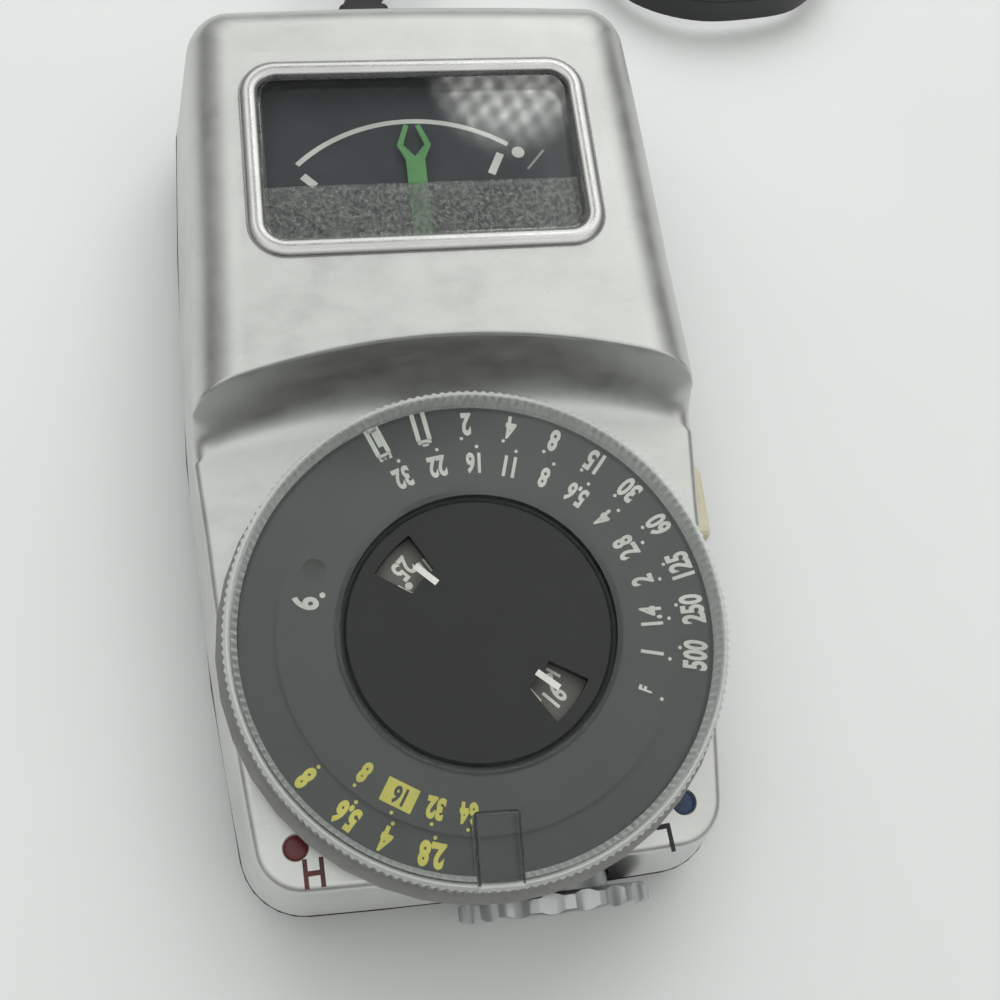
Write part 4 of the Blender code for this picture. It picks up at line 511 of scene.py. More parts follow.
def smoothRoute(points, step):
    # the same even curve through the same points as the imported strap
    path = [Vector(point) for point in points]
    dense = []
    for i in range(len(path) - 1):
        before = path[i - 1] if i else path[0] * 2 - path[1]
        after = path[i + 2] if i + 2 < len(path) else path[-1] * 2 - path[-2]
        a, b = path[i], path[i + 1]
        for k in range(strapSizes["curveSteps"]):
            t = k / strapSizes["curveSteps"]
            dense.append(0.5 * (2 * a + (b - before) * t + (2 * before - 5 * a + 4 * b - after) * t * t +
                                (3 * a - before - 3 * b + after) * t ** 3))
    dense.append(path[-1])
    total = sum((b - a).length for a, b in stretches(dense))
    count = max(2, round(total / step))
    found, walked, target = [dense[0]], 0.0, total / count
    for a, b in stretches(dense):
        length = (b - a).length
        while walked + length >= target * len(found) and len(found) < count:
            found.append(a.lerp(b, (target * len(found) - walked) / length))
        walked += length
    found.append(dense[-1])
    return found


def roundedSection(width, thick, corner, steps):
    outline = []
    for signX, signY, start in ((1, 1, 0), (-1, 1, 90), (-1, -1, 180), (1, -1, 270)):
        for k in range(steps + 1):
            turn = math.radians(start + 90 * k / steps)
            outline.append((signX * (width / 2 - corner) + corner * math.cos(turn),
                            signY * (thick / 2 - corner) + corner * math.sin(turn)))
    return outline


def makeBand(name, path, twistOver):
    # a flat band swept along its path; it turns onto its edge where it runs along the table
    outline = roundedSection(*(strapSizes[key] for key in ("width", "thick", "round", "corners")))
    walked = [0.0]
    for a, b in stretches(path):
        walked.append(walked[-1] + (b - a).length)
    total = walked[-1]
    mesh = bmesh.new()
    uvLayer = mesh.loops.layers.uv.new("UVMap")
    rings = []
    for i, point in enumerate(path):
        along = (path[min(i + 1, len(path) - 1)] - path[max(i - 1, 0)]).normalized()
        side = along.cross(Vector((0, 0, 1))).normalized()
        over = side.cross(along)
        share = min(1.0, min(walked[i], total - walked[i]) / twistOver)
        turn = math.radians(90) * share * share * (3 - 2 * share)
        wide = side * math.cos(turn) + over * math.sin(turn)
        thin = over * math.cos(turn) - side * math.sin(turn)
        rings.append([mesh.verts.new(point + wide * x + thin * y) for x, y in outline])
    spans = [0.0]
    for a, b in stretches([Vector(spot) for spot in outline + outline[:1]]):
        spans.append(spans[-1] + (b - a).length)
    for (near, far), (lower, upper) in zip(stretches(walked), stretches(rings)):
        for k, (here, there) in enumerate(stretches(spans)):
            m = (k + 1) % len(outline)
            face = mesh.faces.new((lower[k], lower[m], upper[m], upper[k]))
            for loop, spot in zip(face.loops, ((near, here), (near, there), (far, there), (far, here))):
                loop[uvLayer].uv = spot
    mesh.faces.new(rings[0][::-1])
    mesh.faces.new(rings[-1])
    return meshPiece(mesh, name), total


routePoints = [Vector(point) * mm for point in strapRoute]
strapPath = [routePoints[0]] + smoothRoute(routePoints[1:-1], strapSizes["step"]) + [routePoints[-1]]
strapBand, strapLength = makeBand("strap_band", strapPath, strapSizes["twistOver"])
finishPiece(strapBand, "strap_band", strapWeave, "case", ("wrist_strap",), 50)
print("strap laid, %.4f m" % strapLength)

# table and soft light
studio = {
    "floorSize": 8.0,
    "floorColour": (0.78, 0.79, 0.80),
    "floorCloud": 60.0,
    "skyColour": (0.985, 1.0, 0.955),
    "skyStrength": 0.95,
    "frontAt": (-0.3, -0.93, 0.1),
    "lampsAim": (0, 0, 0.02),
    # light at the two ends, then the cosines where it starts and stops changing
    "height": (0.08, 1.0, 0.05, 0.85),
    "front": (1.0, 0.27, 0.5, 0.97),
}
# each patch: direction, light in its core or the share that is kept there, degrees to its core and edge
roomPatches = {
    "ceiling": ((0.22, 0.62, 0.75), 0.62, 6, 45),
    "glow": ((0.178, 0.61, 0.772), 4.8, 1.4, 4.0),
    "shades": [
        ((0.1, 0.2, 0.97), 0.68, 11, 21),
        ((0.04, 0.54, 0.84), 0.16, 7, 14),
        ((-0.88, 0.3, 0.36), 0.5, 12, 48),
        ((0.92, 0.25, 0.3), 0.5, 12, 48),
    ],
}
glowPattern = {
    "cloudScale": 90.0,
    "cloudDetail": 3.0,
    "clouds": (0.6, 1.15, 0.36, 0.7),
    "spotPitch": 380.0,
    "spotWays": [(0.97, -0.24, 0.0), (0.24, 0.97, 0.0)],
    "spots": (0.6, 1.8, -0.6, 1.0),
}
# each lamp: place, power and size
lamps = {
    "keyLight": ((0.16, 0.45, 0.52), 1.6, 0.6),
    "fillLight": ((-0.34, 0.42, 0.55), 1.0, 0.7),
}


def skyDot(tree, way):
    place = addNode(tree, "TexCoord")
    dot = addNode(tree, "VectorMath", {0: place.outputs["Generated"], 1: tuple(Vector(way).normalized())})
    dot.operation = "DOT_PRODUCT"
    return dot.outputs["Value"]


def skyPatch(tree, way, low, high, core, edge):
    # a soft patch of the room round one direction: low outside the edge, high inside the core, in degrees
    outside, inside = math.cos(math.radians(edge)), math.cos(math.radians(core))
    patch = between(tree, skyDot(tree, way), low, high, outside, inside)
    patch.node.interpolation_type = "SMOOTHSTEP"
    return patch


def brokenGlow(tree):
    # the glow in the window: clouds, and rows of soft spots
    place = addNode(tree, "TexCoord")
    noise = addNode(tree, "TexNoise", {"Vector": place.outputs["Generated"],
                                       "Scale": glowPattern["cloudScale"],
                                       "Detail": glowPattern["cloudDetail"]})
    clouds = between(tree, noise.outputs["Fac"], *glowPattern["clouds"])
    waves = []
    for way in glowPattern["spotWays"]:
        angle = combined(tree, "MULTIPLY", skyDot(tree, way), glowPattern["spotPitch"])
        waves.append(combined(tree, "SINE", angle, 0.0))
    spots = between(tree, combined(tree, "MULTIPLY", *waves), *glowPattern["spots"])
    pattern = combined(tree, "MULTIPLY", clouds, spots)
    way, power, core, edge = roomPatches["glow"]
    return combined(tree, "MULTIPLY", skyPatch(tree, way, 0.0, power, core, edge), pattern)


def makeRoomLight():
    # a pale room overhead, dimmer at the front, above and at the sides, where the metal mirrors it
    world = bpy.data.worlds.new("studioWorld")
    bpy.context.scene.world = world
    world.use_nodes = True
    tree = world.node_tree
    height = between(tree, skyDot(tree, (0, 0, 1)), *studio["height"])
    height.node.interpolation_type = "SMOOTHSTEP"
    front = between(tree, skyDot(tree, studio["frontAt"]), *studio["front"])
    way, power, core, edge = roomPatches["ceiling"]
    light = combined(tree, "ADD", combined(tree, "MULTIPLY", height, front),
                     skyPatch(tree, way, 0.0, power, core, edge))
    for way, power, core, edge in roomPatches["shades"]:
        light = combined(tree, "MULTIPLY", light, skyPatch(tree, way, 1.0, power, core, edge))
    light = combined(tree, "ADD", light, brokenGlow(tree))
    light = combined(tree, "MULTIPLY", light, studio["skyStrength"])
    setInputs(tree, tree.nodes["Background"], {"Color": (*studio["skyColour"], 1.0), "Strength": light})


def makeStudio():
    clearSelection()
    bpy.ops.mesh.primitive_plane_add(size=studio["floorSize"], location=(0, 0, 0))
    floor = bpy.context.object
    floor.name = "tableTop"
    colour = studio["floorColour"]
    finish, tree, shader = newFinish("tableFinish", colour, 0.6)
    tint = cloudedColour(tree, colour, studio["floorCloud"], 0.985, 1.015, 3.0)
    setInputs(tree, shader, {"Base Color": tint})
    floor.data.materials.append(finish)
    makeRoomLight()
    for name, (place, power, size) in lamps.items():
        bpy.ops.object.light_add(type="AREA", location=place)
        lamp = bpy.context.object
        lamp.name = name
        lamp.data.size = size
        lamp.data.energy = power
        lamp.visible_glossy = False
        lamp.visible_transmission = False
        aim = Vector(studio["lampsAim"]) - lamp.location
        lamp.rotation_euler = aim.to_track_quat("-Z", "Y").to_euler()
    bpy.context.scene.view_settings.view_transform = "Standard"


makeStudio()
print("studio lit")


# printed marks
printSizes = {
    "thick": 0.012 * mm,
    "gap": 0.004 * mm,
    "curveSteps": 3,
}
printRise = printSizes["gap"] + printSizes["thick"] / 2


def textPiece(words, height, squeeze, place, turn, weight):
    clearSelection()
    bpy.ops.object.text_add(location=(0, 0, 0))
    letters = bpy.context.object.data
    letters.body = words
    letters.align_x = "CENTER"
    letters.resolution_u = printSizes["curveSteps"]
    letters.offset = weight
    letters.extrude = 0.5
    bpy.ops.object.convert(target="MESH")
    mark = bpy.context.object
    spots = [corner.co for corner in mark.data.vertices]
    lowX, highX = min(s.x for s in spots), max(s.x for s in spots)
    lowY, highY = min(s.y for s in spots), max(s.y for s in spots)
    middle = Vector(((lowX + highX) / 2, (lowY + highY) / 2, 0))
    for corner in mark.data.vertices:
        corner.co = corner.co - middle
    scale = height / (highY - lowY)
    mark.scale = (scale * squeeze, scale, printSizes["thick"])
    mark.rotation_euler = (0, 0, turn)
    mark.location = (place[0], place[1], place[2] + printRise)
    settlePlace(mark)
    return mark


def barPiece(start, stop, width, level):
    a, b = Vector(start), Vector(stop)
    middle = ((a.x + b.x) / 2, (a.y + b.y) / 2, level + printRise)
    return squareRod(((b - a).length, width, printSizes["thick"]), middle, math.atan2((b - a).y, (b - a).x))


def barPieces(pairs, width, level, middle=Vector((0, 0))):
    # a bar for each pair of ends, given in millimetres from the middle
    ends = [[middle + Vector(end) * mm for end in pair] for pair in pairs]
    return [barPiece(start, stop, width, level) for start, stop in ends]


def spotPiece(place, radius, level, corners=20):
    spot = roundRod(radius, printSizes["thick"], (place[0], place[1], level + printRise), corners)
    settlePlace(spot)
    return spot


def dialSpot(radius, angle):
    turn = math.radians(angle)
    return dialAt.x + radius * math.cos(turn), dialAt.y + radius * math.sin(turn)


def dialNumber(row, words, angle, level):
    height = row["height"] * row.get("smaller", {}).get(words, 1.0)
    turn = math.radians(angle + row["facing"])
    place = (*dialSpot(row["at"], angle), level)
    return textPiece(words, height, row["squeeze"], place, turn, row["weight"])


def dialDot(row, angle, level):
    return spotPiece(dialSpot(row["dotAt"], angle + row["dotTurn"]), row["dot"], level)


def numberRow(row, level):
    # numbers round the dial, each with its small dot
    found = []
    for words, angle in row["places"]:
        found += [dialNumber(row, words, angle, level), dialDot(row, angle, level)]
    return found


def evenly(words, start, step):
    return [(word, start + step * k) for k, word in enumerate(words.split())]


# casing: lofted row by row, because its draft, cove and fillets all change along it
window = {
    "x": -0.65 * mm,
    "y": 28.1 * mm,
    "halfX": 19.1 * mm,
    "halfY": 11.5 * mm,
    "corner": 2.8 * mm,
    "low": 28.0 * mm,
    "flange": 1.3 * mm,
    "flangeThick": 0.5 * mm,
    "top": 30.5 * mm,
    "shoulder": 0.9 * mm,
    "shoulderIn": 0.05 * mm,
    "steepest": 0.3,
    "cornerSteps": 6,
    "shoulderSteps": 4,
    "beadSteps": 8,
}
# section of the rolled rim, in millimetres out from the opening and up from the face
beadSection = [(-0.5, -0.6), (-0.5, 0.35), (-0.35, 0.62), (-0.05, 0.78), (0.4, 0.86), (0.85, 0.84),
               (1.25, 0.7), (1.55, 0.45), (1.72, 0.15), (1.8, -0.6)]
dots = {
    "x": 20.8 * mm,
    "y": -48.1 * mm,
    "radius": 1.3 * mm,
    "low": 19.9 * mm,
    "high": 20.36 * mm,
    "crown": [(0, 0), (0.5, 0.02), (0.85, 0.12), (1, 0.24)],
    "steps": 40,
}
case = {
    "length": 110.4 * mm,
    "halfWidth": 31.4 * mm,
    "widestY": 12.0 * mm,
    "topDraw": 0.93 * mm,
    "frontDraw": 5.2 * mm,
    "endBow": 0.9 * mm,
    "frontCorner": 7.5 * mm,
    "topCorner": 8.5 * mm,
    "seam": 9.0 * mm,
    "plateau": 20.5 * mm,
    "housing": 30.5 * mm,
    "housingFall": 0.5 * mm,
    "wall": 1.4 * mm,
    "plateauFillet": 1.0 * mm,
    "sideFillet": 6.25 * mm,
    "endFillet": 5.0 * mm,
    "leastFillet": 0.3 * mm,
    "leastCorner": 2.6 * mm,
    "lipY": 4.4 * mm,
    "coveRun": 6.3 * mm,
    "lipRound": 0.55 * mm,
    "coveShape": 1.15,
    "footSag": 0.585,
    "lipSag": 3.2 * mm,
    "lipSagAt": 22.0 * mm,
    "draft": 0.194,
    "flare": 0.045,
    "flareY": -4.5 * mm,
    "flareReach": 6.5 * mm,
    "flareBack": 12.0 * mm,
    "cornerTries": 60,
    "cornerSteps": 9,
    "filletSteps": 9,
    "innerSteps": 3,
    "coveSteps": 14,
    "lipSteps": 4,
    "coveTurn": 86.0,
    "coveFillet": 0.4,
    "plateauRows": (0.08, 0.2, 0.35, 0.5, 0.65, 0.78, 0.9),
    "housingRows": (0.06, 0.15, 0.28, 0.42, 0.56, 0.7, 0.79, 0.87),
}
halfLength = case["length"] / 2
# the window's levels, then round holes by radius, depth, place, corners and turn, and slots by size and place
openings = {
    "windowLevels": (27 * mm, 33 * mm),
    "post": (5.4 * mm, 8 * mm, (0, dialAt.y, case["plateau"]), 64),
    "ring": (6.5 * mm, 8 * mm, (6.6 * mm, -halfLength, 12 * mm), 64, (math.radians(90), 0, 0)),
    "redDot": (1.4 * mm, 1.4 * mm, (-dots["x"], dots["y"], case["plateau"]), 40),
    "blueDot": (1.4 * mm, 1.4 * mm, (dots["x"], dots["y"], case["plateau"]), 40),
    "button": ((8 * mm, 10.4 * mm, 5.0 * mm), (31 * mm, -12 * mm, 12 * mm)),
    "strap": ((9.2 * mm, 8 * mm, 1.6 * mm), (-4.4 * mm, halfLength, 12 * mm)),
}
cornerRadii = {1: case["topCorner"], -1: case["frontCorner"]}
lipCurve = case["lipSag"] / case["lipSagAt"] ** 2
edgeShares = [0.9 - 0.1 * k for k in range(19)]


def sideReach(y):
    # half width of the plan at y, and its slope
    lead = y - case["widestY"]
    reach = halfLength - case["widestY"] if lead > 0 else halfLength + case["widestY"]
    draw = case["topDraw"] if lead > 0 else case["frontDraw"]
    share = lead / reach
    return case["halfWidth"] - draw * share ** 2, -2 * draw * share / reach


def endReach(x):
    share = x / case["halfWidth"]
    return halfLength - case["endBow"] * share ** 2, -2 * case["endBow"] * share / case["halfWidth"]


def cornerFrame(signY, radius):
    # middle of a plan corner and the directions in which it meets the side and the end
    midX = case["halfWidth"] - radius
    midY = signY * (halfLength - radius)
    for _ in range(case["cornerTries"]):
        side = Vector((1, -sideReach(midY)[1])).normalized()
        width, slope = sideReach(midY + radius * side.y)
        side = Vector((1, -slope)).normalized()
        end = Vector((-endReach(midX)[1], 1)).normalized()
        reach, slope = endReach(midX + radius * end.x)
        end = Vector((-slope, 1)).normalized()
        midX = width - radius * side.x
        midY = signY * (reach - radius * end.y)
    return midX, midY, math.atan2(side.y, side.x), math.atan2(signY * end.y, end.x)


corners = {sign: cornerFrame(sign, radius) for sign, radius in cornerRadii.items()}


def insetCorner(signY, inset):
    # the corner's radius at a depth, and how far its middle has moved in by then
    spare = cornerRadii[signY] - case["leastCorner"]
    return case["leastCorner"] + max(spare - inset, 0.0), max(0.0, inset - spare)


def cornerPoint(signX, signY, share, inset):
    midX, midY, first, last = corners[signY]
    turn = first + (last - first) * share
    left, shift = insetCorner(signY, inset)
    return signX * (midX - shift + left * math.cos(turn)), midY - signY * shift + left * math.sin(turn)


def sidePoint(signX, rowY, sag, inset):
    y = rowY - sag * (sideReach(rowY)[0] - inset) ** 2
    width, slope = sideReach(y)
    return signX * (width - inset * math.hypot(1, slope)), y


def endPoint(signY, share, inset):
    midX, midY, first, last = corners[signY]
    left, shift = insetCorner(signY, inset)
    x = share * (midX - shift + left * math.cos(last))
    reach, slope = endReach(x)
    return x, signY * (reach - inset * math.hypot(1, slope))


def draftAt(y):
    # the walls lean in less beside the cove, where the plateau runs out to them
    reach = case["flareBack"] if y > case["flareY"] else case["flareReach"]
    return case["draft"] - case["flare"] * math.exp(-((y - case["flareY"]) / reach) ** 2)


def shellRows(inner):
    # rows across the top, front to strap end: kind, place, sag, height above the seam, fillet
    wall = case["wall"] if inner else 0.0
    low, high = case["plateau"] - case["seam"], case["housing"] - case["seam"]
    small, large = case["plateauFillet"], case["sideFillet"]
    frontY, topY = corners[-1][1], corners[1][1]
    steps = case["cornerSteps"]
    rows = [("corner", -1, 0.5 - 0.5 * k / steps, low, small) for k in range(steps + 1)]
    foot = case["lipY"] - case["coveRun"]
    for share in case["plateauRows"]:
        sag = lipCurve * case["footSag"] * share
        rows.append(("side", frontY + (foot - frontY) * share, sag, low, small))
    run = case["coveRun"] + wall
    rounded = case["lipRound"]
    topRise = (high - low - rounded) / (high - low)
    whole = math.radians(case["coveTurn"])
    for k in range(case["coveSteps"] + 1):
        turn = whole * k / case["coveSteps"]
        rise = (1 - math.cos(turn)) * topRise / (1 - math.cos(whole))
        curve = lipCurve * (case["footSag"] + (1 - case["footSag"]) * math.sin(turn))
        lift = topRise * (rise / topRise) ** case["coveShape"]
        rows.append(("side", foot + run * math.sin(turn), curve, low + (high - low) * lift,
                     small + (large - small) * rise ** case["coveFillet"]))
    start = foot + run
    for k in range(1, case["lipSteps"] + 1):
        turn = math.radians(90.0 * k / case["lipSteps"])
        rows.append(("side", start + rounded * (1 - math.cos(turn)), lipCurve,
                     high - rounded + rounded * math.sin(turn), large))
    start += rounded
    for share in case["housingRows"]:
        y = start + (topY - start) * share
        fall = case["housingFall"] * (y - start) / (halfLength - start)
        rows.append(("side", y, lipCurve * (1 - share) ** 2, high - fall, large))
    for k in range(steps + 1):
        share = 0.5 * k / steps
        fillet = large + (case["endFillet"] - large) * share
        rows.append(("corner", 1, share, high - case["housingFall"], fillet))
    return rows


def shellSkin(mesh, rows, inset, seam, roof, thin, steps):
    # a grid on top whose border runs down the fillet and the drafted wall to the seam

    def spot(row, signX):
        def plan(depth):
            if row[0] == "corner":
                return cornerPoint(signX, row[1], row[2], depth)
            return sidePoint(signX, row[1], row[2], depth)
        return plan, row[-2] - roof, max(row[-1] - thin, case["leastFillet"])

    def endSpots(signY, row):
        wide = row[-1] if signY < 0 else case["endFillet"]
        height = row[-2] - roof
        corner = []
        for k in range(case["cornerSteps"] - 1, -1, -1):
            share = 1 - 0.5 * k / case["cornerSteps"]
            fillet = row[-1] + (wide - row[-1]) * (2 * share - 1)
            corner.append((share, max(fillet - thin, case["leastFillet"])))
        found = [((lambda depth, s=share: cornerPoint(-1, signY, s, depth)), height, fillet)
                 for share, fillet in corner]
        flat = max(wide - thin, case["leastFillet"])
        found += [((lambda depth, s=-share: endPoint(signY, s, depth)), height, flat)
                  for share in edgeShares]
        found += [((lambda depth, s=share: cornerPoint(1, signY, s, depth)), height, fillet)
                  for share, fillet in corner[::-1]]
        return found

    front, back = endSpots(-1, rows[0]), endSpots(1, rows[-1])
    left = [spot(row, -1) for row in rows]
    right = [spot(row, 1) for row in rows]
    loop = [left[0]] + front + right + back[::-1] + [left[-1]] + left[1:-1][::-1]

    def place(item, level):
        plan, height, fillet = item
        if level == 0:
            return (*plan(inset), seam)
        draft = draftAt(plan(inset)[1])
        lean = math.atan(draft)
        turn = lean + (math.pi / 2 - lean) * (level - 1) / steps
        middle = height - fillet
        leant = draft * (middle + fillet * math.sin(lean))
        depth = inset + leant + fillet * (math.cos(lean) - math.cos(turn))
        return (*plan(depth), seam + middle + fillet * math.sin(turn))

    levels = [[mesh.verts.new(place(item, level)) for item in loop] for level in range(steps + 2)]
    for lower, upper in stretches(levels):
        wrapFaces(mesh, lower, upper)
    rim = levels[-1]
    across, deep = len(front) + 1, len(rows) - 1
    grid = [[None] * (across + 1) for _ in range(deep + 1)]
    for c in range(across + 1):
        grid[0][c] = rim[c]
        grid[deep][c] = rim[across + deep + (across - c)]
    for r in range(1, deep):
        grid[r][across] = rim[across + r]
        grid[r][0] = rim[-r]
    nearLeft, nearRight = grid[0][0].co.x, grid[0][across].co.x
    farLeft, farRight = grid[deep][0].co.x, grid[deep][across].co.x
    for r in range(1, deep):
        first, last = grid[r][0].co, grid[r][across].co
        sag = rows[r][2] if rows[r][0] == "side" else 0.0
        for c in range(1, across):
            near = (grid[0][c].co.x - nearLeft) / (nearRight - nearLeft)
            far = (grid[deep][c].co.x - farLeft) / (farRight - farLeft)
            x = first.x + (last.x - first.x) * (near + (far - near) * r / deep)
            grid[r][c] = mesh.verts.new((x, first.y + sag * (first.x ** 2 - x ** 2), first.z))
    for r in range(deep):
        for c in range(across):
            mesh.faces.new((grid[r][c], grid[r][c + 1], grid[r + 1][c + 1], grid[r + 1][c]))
    return levels[0]


def roundedPlate(halfX, halfY, corner, low):
    # flat plate round the window's middle, left in edit mode with all of it chosen
    clearSelection()
    bpy.ops.mesh.primitive_plane_add(size=2.0, location=(0, 0, 0))
    plate = bpy.context.object
    plate.scale = (halfX, halfY, 1.0)
    plate.location = (window["x"], window["y"], low)
    settlePlace(plate)
    bpy.ops.object.mode_set(mode="EDIT")
    bpy.ops.mesh.select_mode(type="VERT")
    bpy.ops.mesh.select_all(action="SELECT")
    bpy.ops.mesh.bevel(offset=corner, segments=window["cornerSteps"], affect="VERTICES")
    bpy.ops.mesh.select_mode(type="FACE")
    bpy.ops.mesh.select_all(action="SELECT")
    return plate


def makeCasing():
    mesh = bmesh.new()
    wall = case["wall"]
    outside = shellSkin(mesh, shellRows(False), 0.0, case["seam"], 0.0, 0.0, case["filletSteps"])
    inside = shellSkin(mesh, shellRows(True), wall, case["seam"], wall, wall, case["innerSteps"])
    wrapFaces(mesh, outside, inside)
    shell = meshPiece(mesh, "casing_shell")
    low, high = openings["windowLevels"]
    opening = roundedPlate(*(window[key] for key in ("halfX", "halfY", "corner")), low)
    raiseFaces(high - low)
    closeEdit()
    holes = [opening] + [roundRod(*openings[key]) for key in ("post", "redDot", "blueDot", "ring")]
    holes += [squareRod(*openings[key]) for key in ("button", "strap")]
    for hole in holes:
        takeAway(shell, hole)
    finishPiece(shell, "casing_shell", casingSilver, "case", ("front_casing",), 60)


def makeBead():
    # rolled rim round the window, drawn along the rounded outline of the opening
    face = case["housing"] - case["housingFall"] * (window["y"] - case["lipY"]) / (halfLength - case["lipY"])
    mesh = bmesh.new()
    loops = []
    for out, rise in beadSection:
        halfX, halfY, corner = (window[key] + out * mm for key in ("halfX", "halfY", "corner"))
        points = roundedSection(halfX * 2, halfY * 2, corner, window["beadSteps"])
        level = face + rise * mm
        loops.append([mesh.verts.new((window["x"] + x, window["y"] + y, level)) for x, y in points])
    for first, second in zip(loops, loops[1:] + loops[:1]):
        wrapFaces(mesh, first, second)
    finishPiece(meshPiece(mesh, "window_bead"), "window_bead", beadSilver, "case", smooth=50)


makeCasing()
makeBead()

rangeLetters = {
    "height": 3.0 * mm,
    "squeeze": 0.85,
    "weight": 0.02,
    "level": 20.5 * mm,
    "high": ("H", (-19.1 * mm, -50.8 * mm), 2, darkRedPrint),
    "low": ("L", (18.15 * mm, -51.6 * mm), 184, darkPrint),
}


def makeLetter(key):
    words, place, turn, ink = rangeLetters[key]
    mark = textPiece(words, rangeLetters["height"], rangeLetters["squeeze"], (*place, rangeLetters["level"]),
                     math.radians(turn), rangeLetters["weight"])
    finishPiece(mark, "letter_" + key, ink, "case")


def makeDot(name, side, finish, node):
    section = [(dots["radius"] * share, dots["high"] - drop * mm) for share, drop in dots["crown"]]
    section += [(dots["radius"], dots["low"]), (0, dots["low"])]
    dot = spunPiece(section, (side * dots["x"], dots["y"], 0), dots["steps"])
    finishPiece(dot, name, finish, "case", (node,), 50)


makeLetter("high")
makeLetter("low")
makeDot("range_dot_red", -1, redEnamel, "red_dot")
makeDot("range_dot_blue", 1, blueEnamel, "blue_dot")
print("casing, dots and letters made")


# meter window, its scale and the needle
def makeWindow():
    edge = window["flange"]
    pane = roundedPlate(*(window[key] + edge for key in ("halfX", "halfY", "corner")), window["low"])
    raiseFaces(window["flangeThick"])
    bpy.ops.mesh.inset(thickness=edge + window["shoulderIn"], depth=0.0)
    raiseFaces(window["top"] - window["low"] - window["flangeThick"])
    bpy.ops.mesh.bevel(offset=window["shoulder"], segments=window["shoulderSteps"], affect="EDGES")
    closeEdit()
    finishPiece(pane, "window_pane", windowClear, "case", ("meter_window",), 30)
    # the sides of the pane are dull, and their pale colour is a painted highlight for the bright streaks
    # along the pane's thick edges
    pane.data.materials.append(paneEdgeHighlight)
    for face in pane.data.polygons:
        if abs(face.normal.z) < window["steepest"]:
            face.material_index = 1


scalePrint = {
    "level": 26.5 * mm,
    "arcReach": (19.69 * mm, 20.31 * mm),
    "arcSpan": (54.8, 134.2),
    "arcSteps": 64,
    "dot": (11.4 * mm, 29.8 * mm),
    "dotRadius": 0.78 * mm,
    "ticks": [((-14.7, 27.4), (-13.3, 26.0)), ((9.2, 29.7), (7.8, 26.9))],
    "tickWidth": 0.95 * mm,
    "faint": [((14.6, 30.0), (12.3, 27.4))],
    "faintWidth": 0.28 * mm,
}


def makeScalePrint():
    level = scalePrint["level"]
    low = level + printSizes["gap"]
    levels = (low, low + printSizes["thick"])
    arc = sweptBar(scalePrint["arcReach"], levels, scalePrint["arcSpan"], scalePrint["arcSteps"], needleAt)
    dot = spotPiece(scalePrint["dot"], scalePrint["dotRadius"], level, corners=32)
    ticks = barPieces(scalePrint["ticks"], scalePrint["tickWidth"], level)
    finishPiece([arc, dot] + ticks, "scale_marks", whitePrint, "case")
    faint = barPieces(scalePrint["faint"], scalePrint["faintWidth"], level)
    finishPiece(faint, "scale_faint_line", faintPrint, "case")


# half of the pointer's outline, in millimetres from its axis
needle = {
    "side": [(1.5, -5.5), (1.15, 0.0), (1.15, 14.0), (2.05, 16.0), (0.95, 18.9), (0.4, 18.7), (1.3, 16.05)],
    "notch": (0.0, 14.4),
    "under": 0.3 * mm,
    "thick": 0.28 * mm,
    "hub": 1.6 * mm,
}


def makeNeedle():
    # flat pointer seen through the window: a stem, and two bent arms that stay open at the tip
    low, high = (corner[2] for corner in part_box("needle"))
    outline = needle["side"] + [needle["notch"]] + [(-x, y) for x, y in needle["side"][::-1]]
    level = high - needle["under"]
    pointer = drawnOutline([(needleAt.x + x * mm, needleAt.y + y * mm, level) for x, y in outline], "NGON")
    openEdit()
    raiseFaces(needle["thick"])
    closeEdit()
    takeAway(pointer, roundRod(needle["hub"], high - low, (*needleAt, (low + high) / 2), 32), "UNION")
    finishPiece(pointer, "green_needle", needleGreen, "needle_movement", stands=("needle",))


makeWindow()
makeScalePrint()
makeNeedle()
print("window, scale and needle made")

# dial
dial = {
    "steps": 192,
    # bore, outer radius, underside and top of the two rings
    "shutter": (14.4 * mm, 25.5 * mm, 25.2 * mm, 26.0 * mm),
    "aperture": (15.3 * mm, 21.2 * mm, 26.3 * mm, 26.6 * mm),
    "edge": 0.12 * mm,
    "holeRadius": 1.2 * mm,
    "holeAt": 18.6 * mm,
    "holeAngle": 155.0,
    "holeDepth": 4 * mm,
}
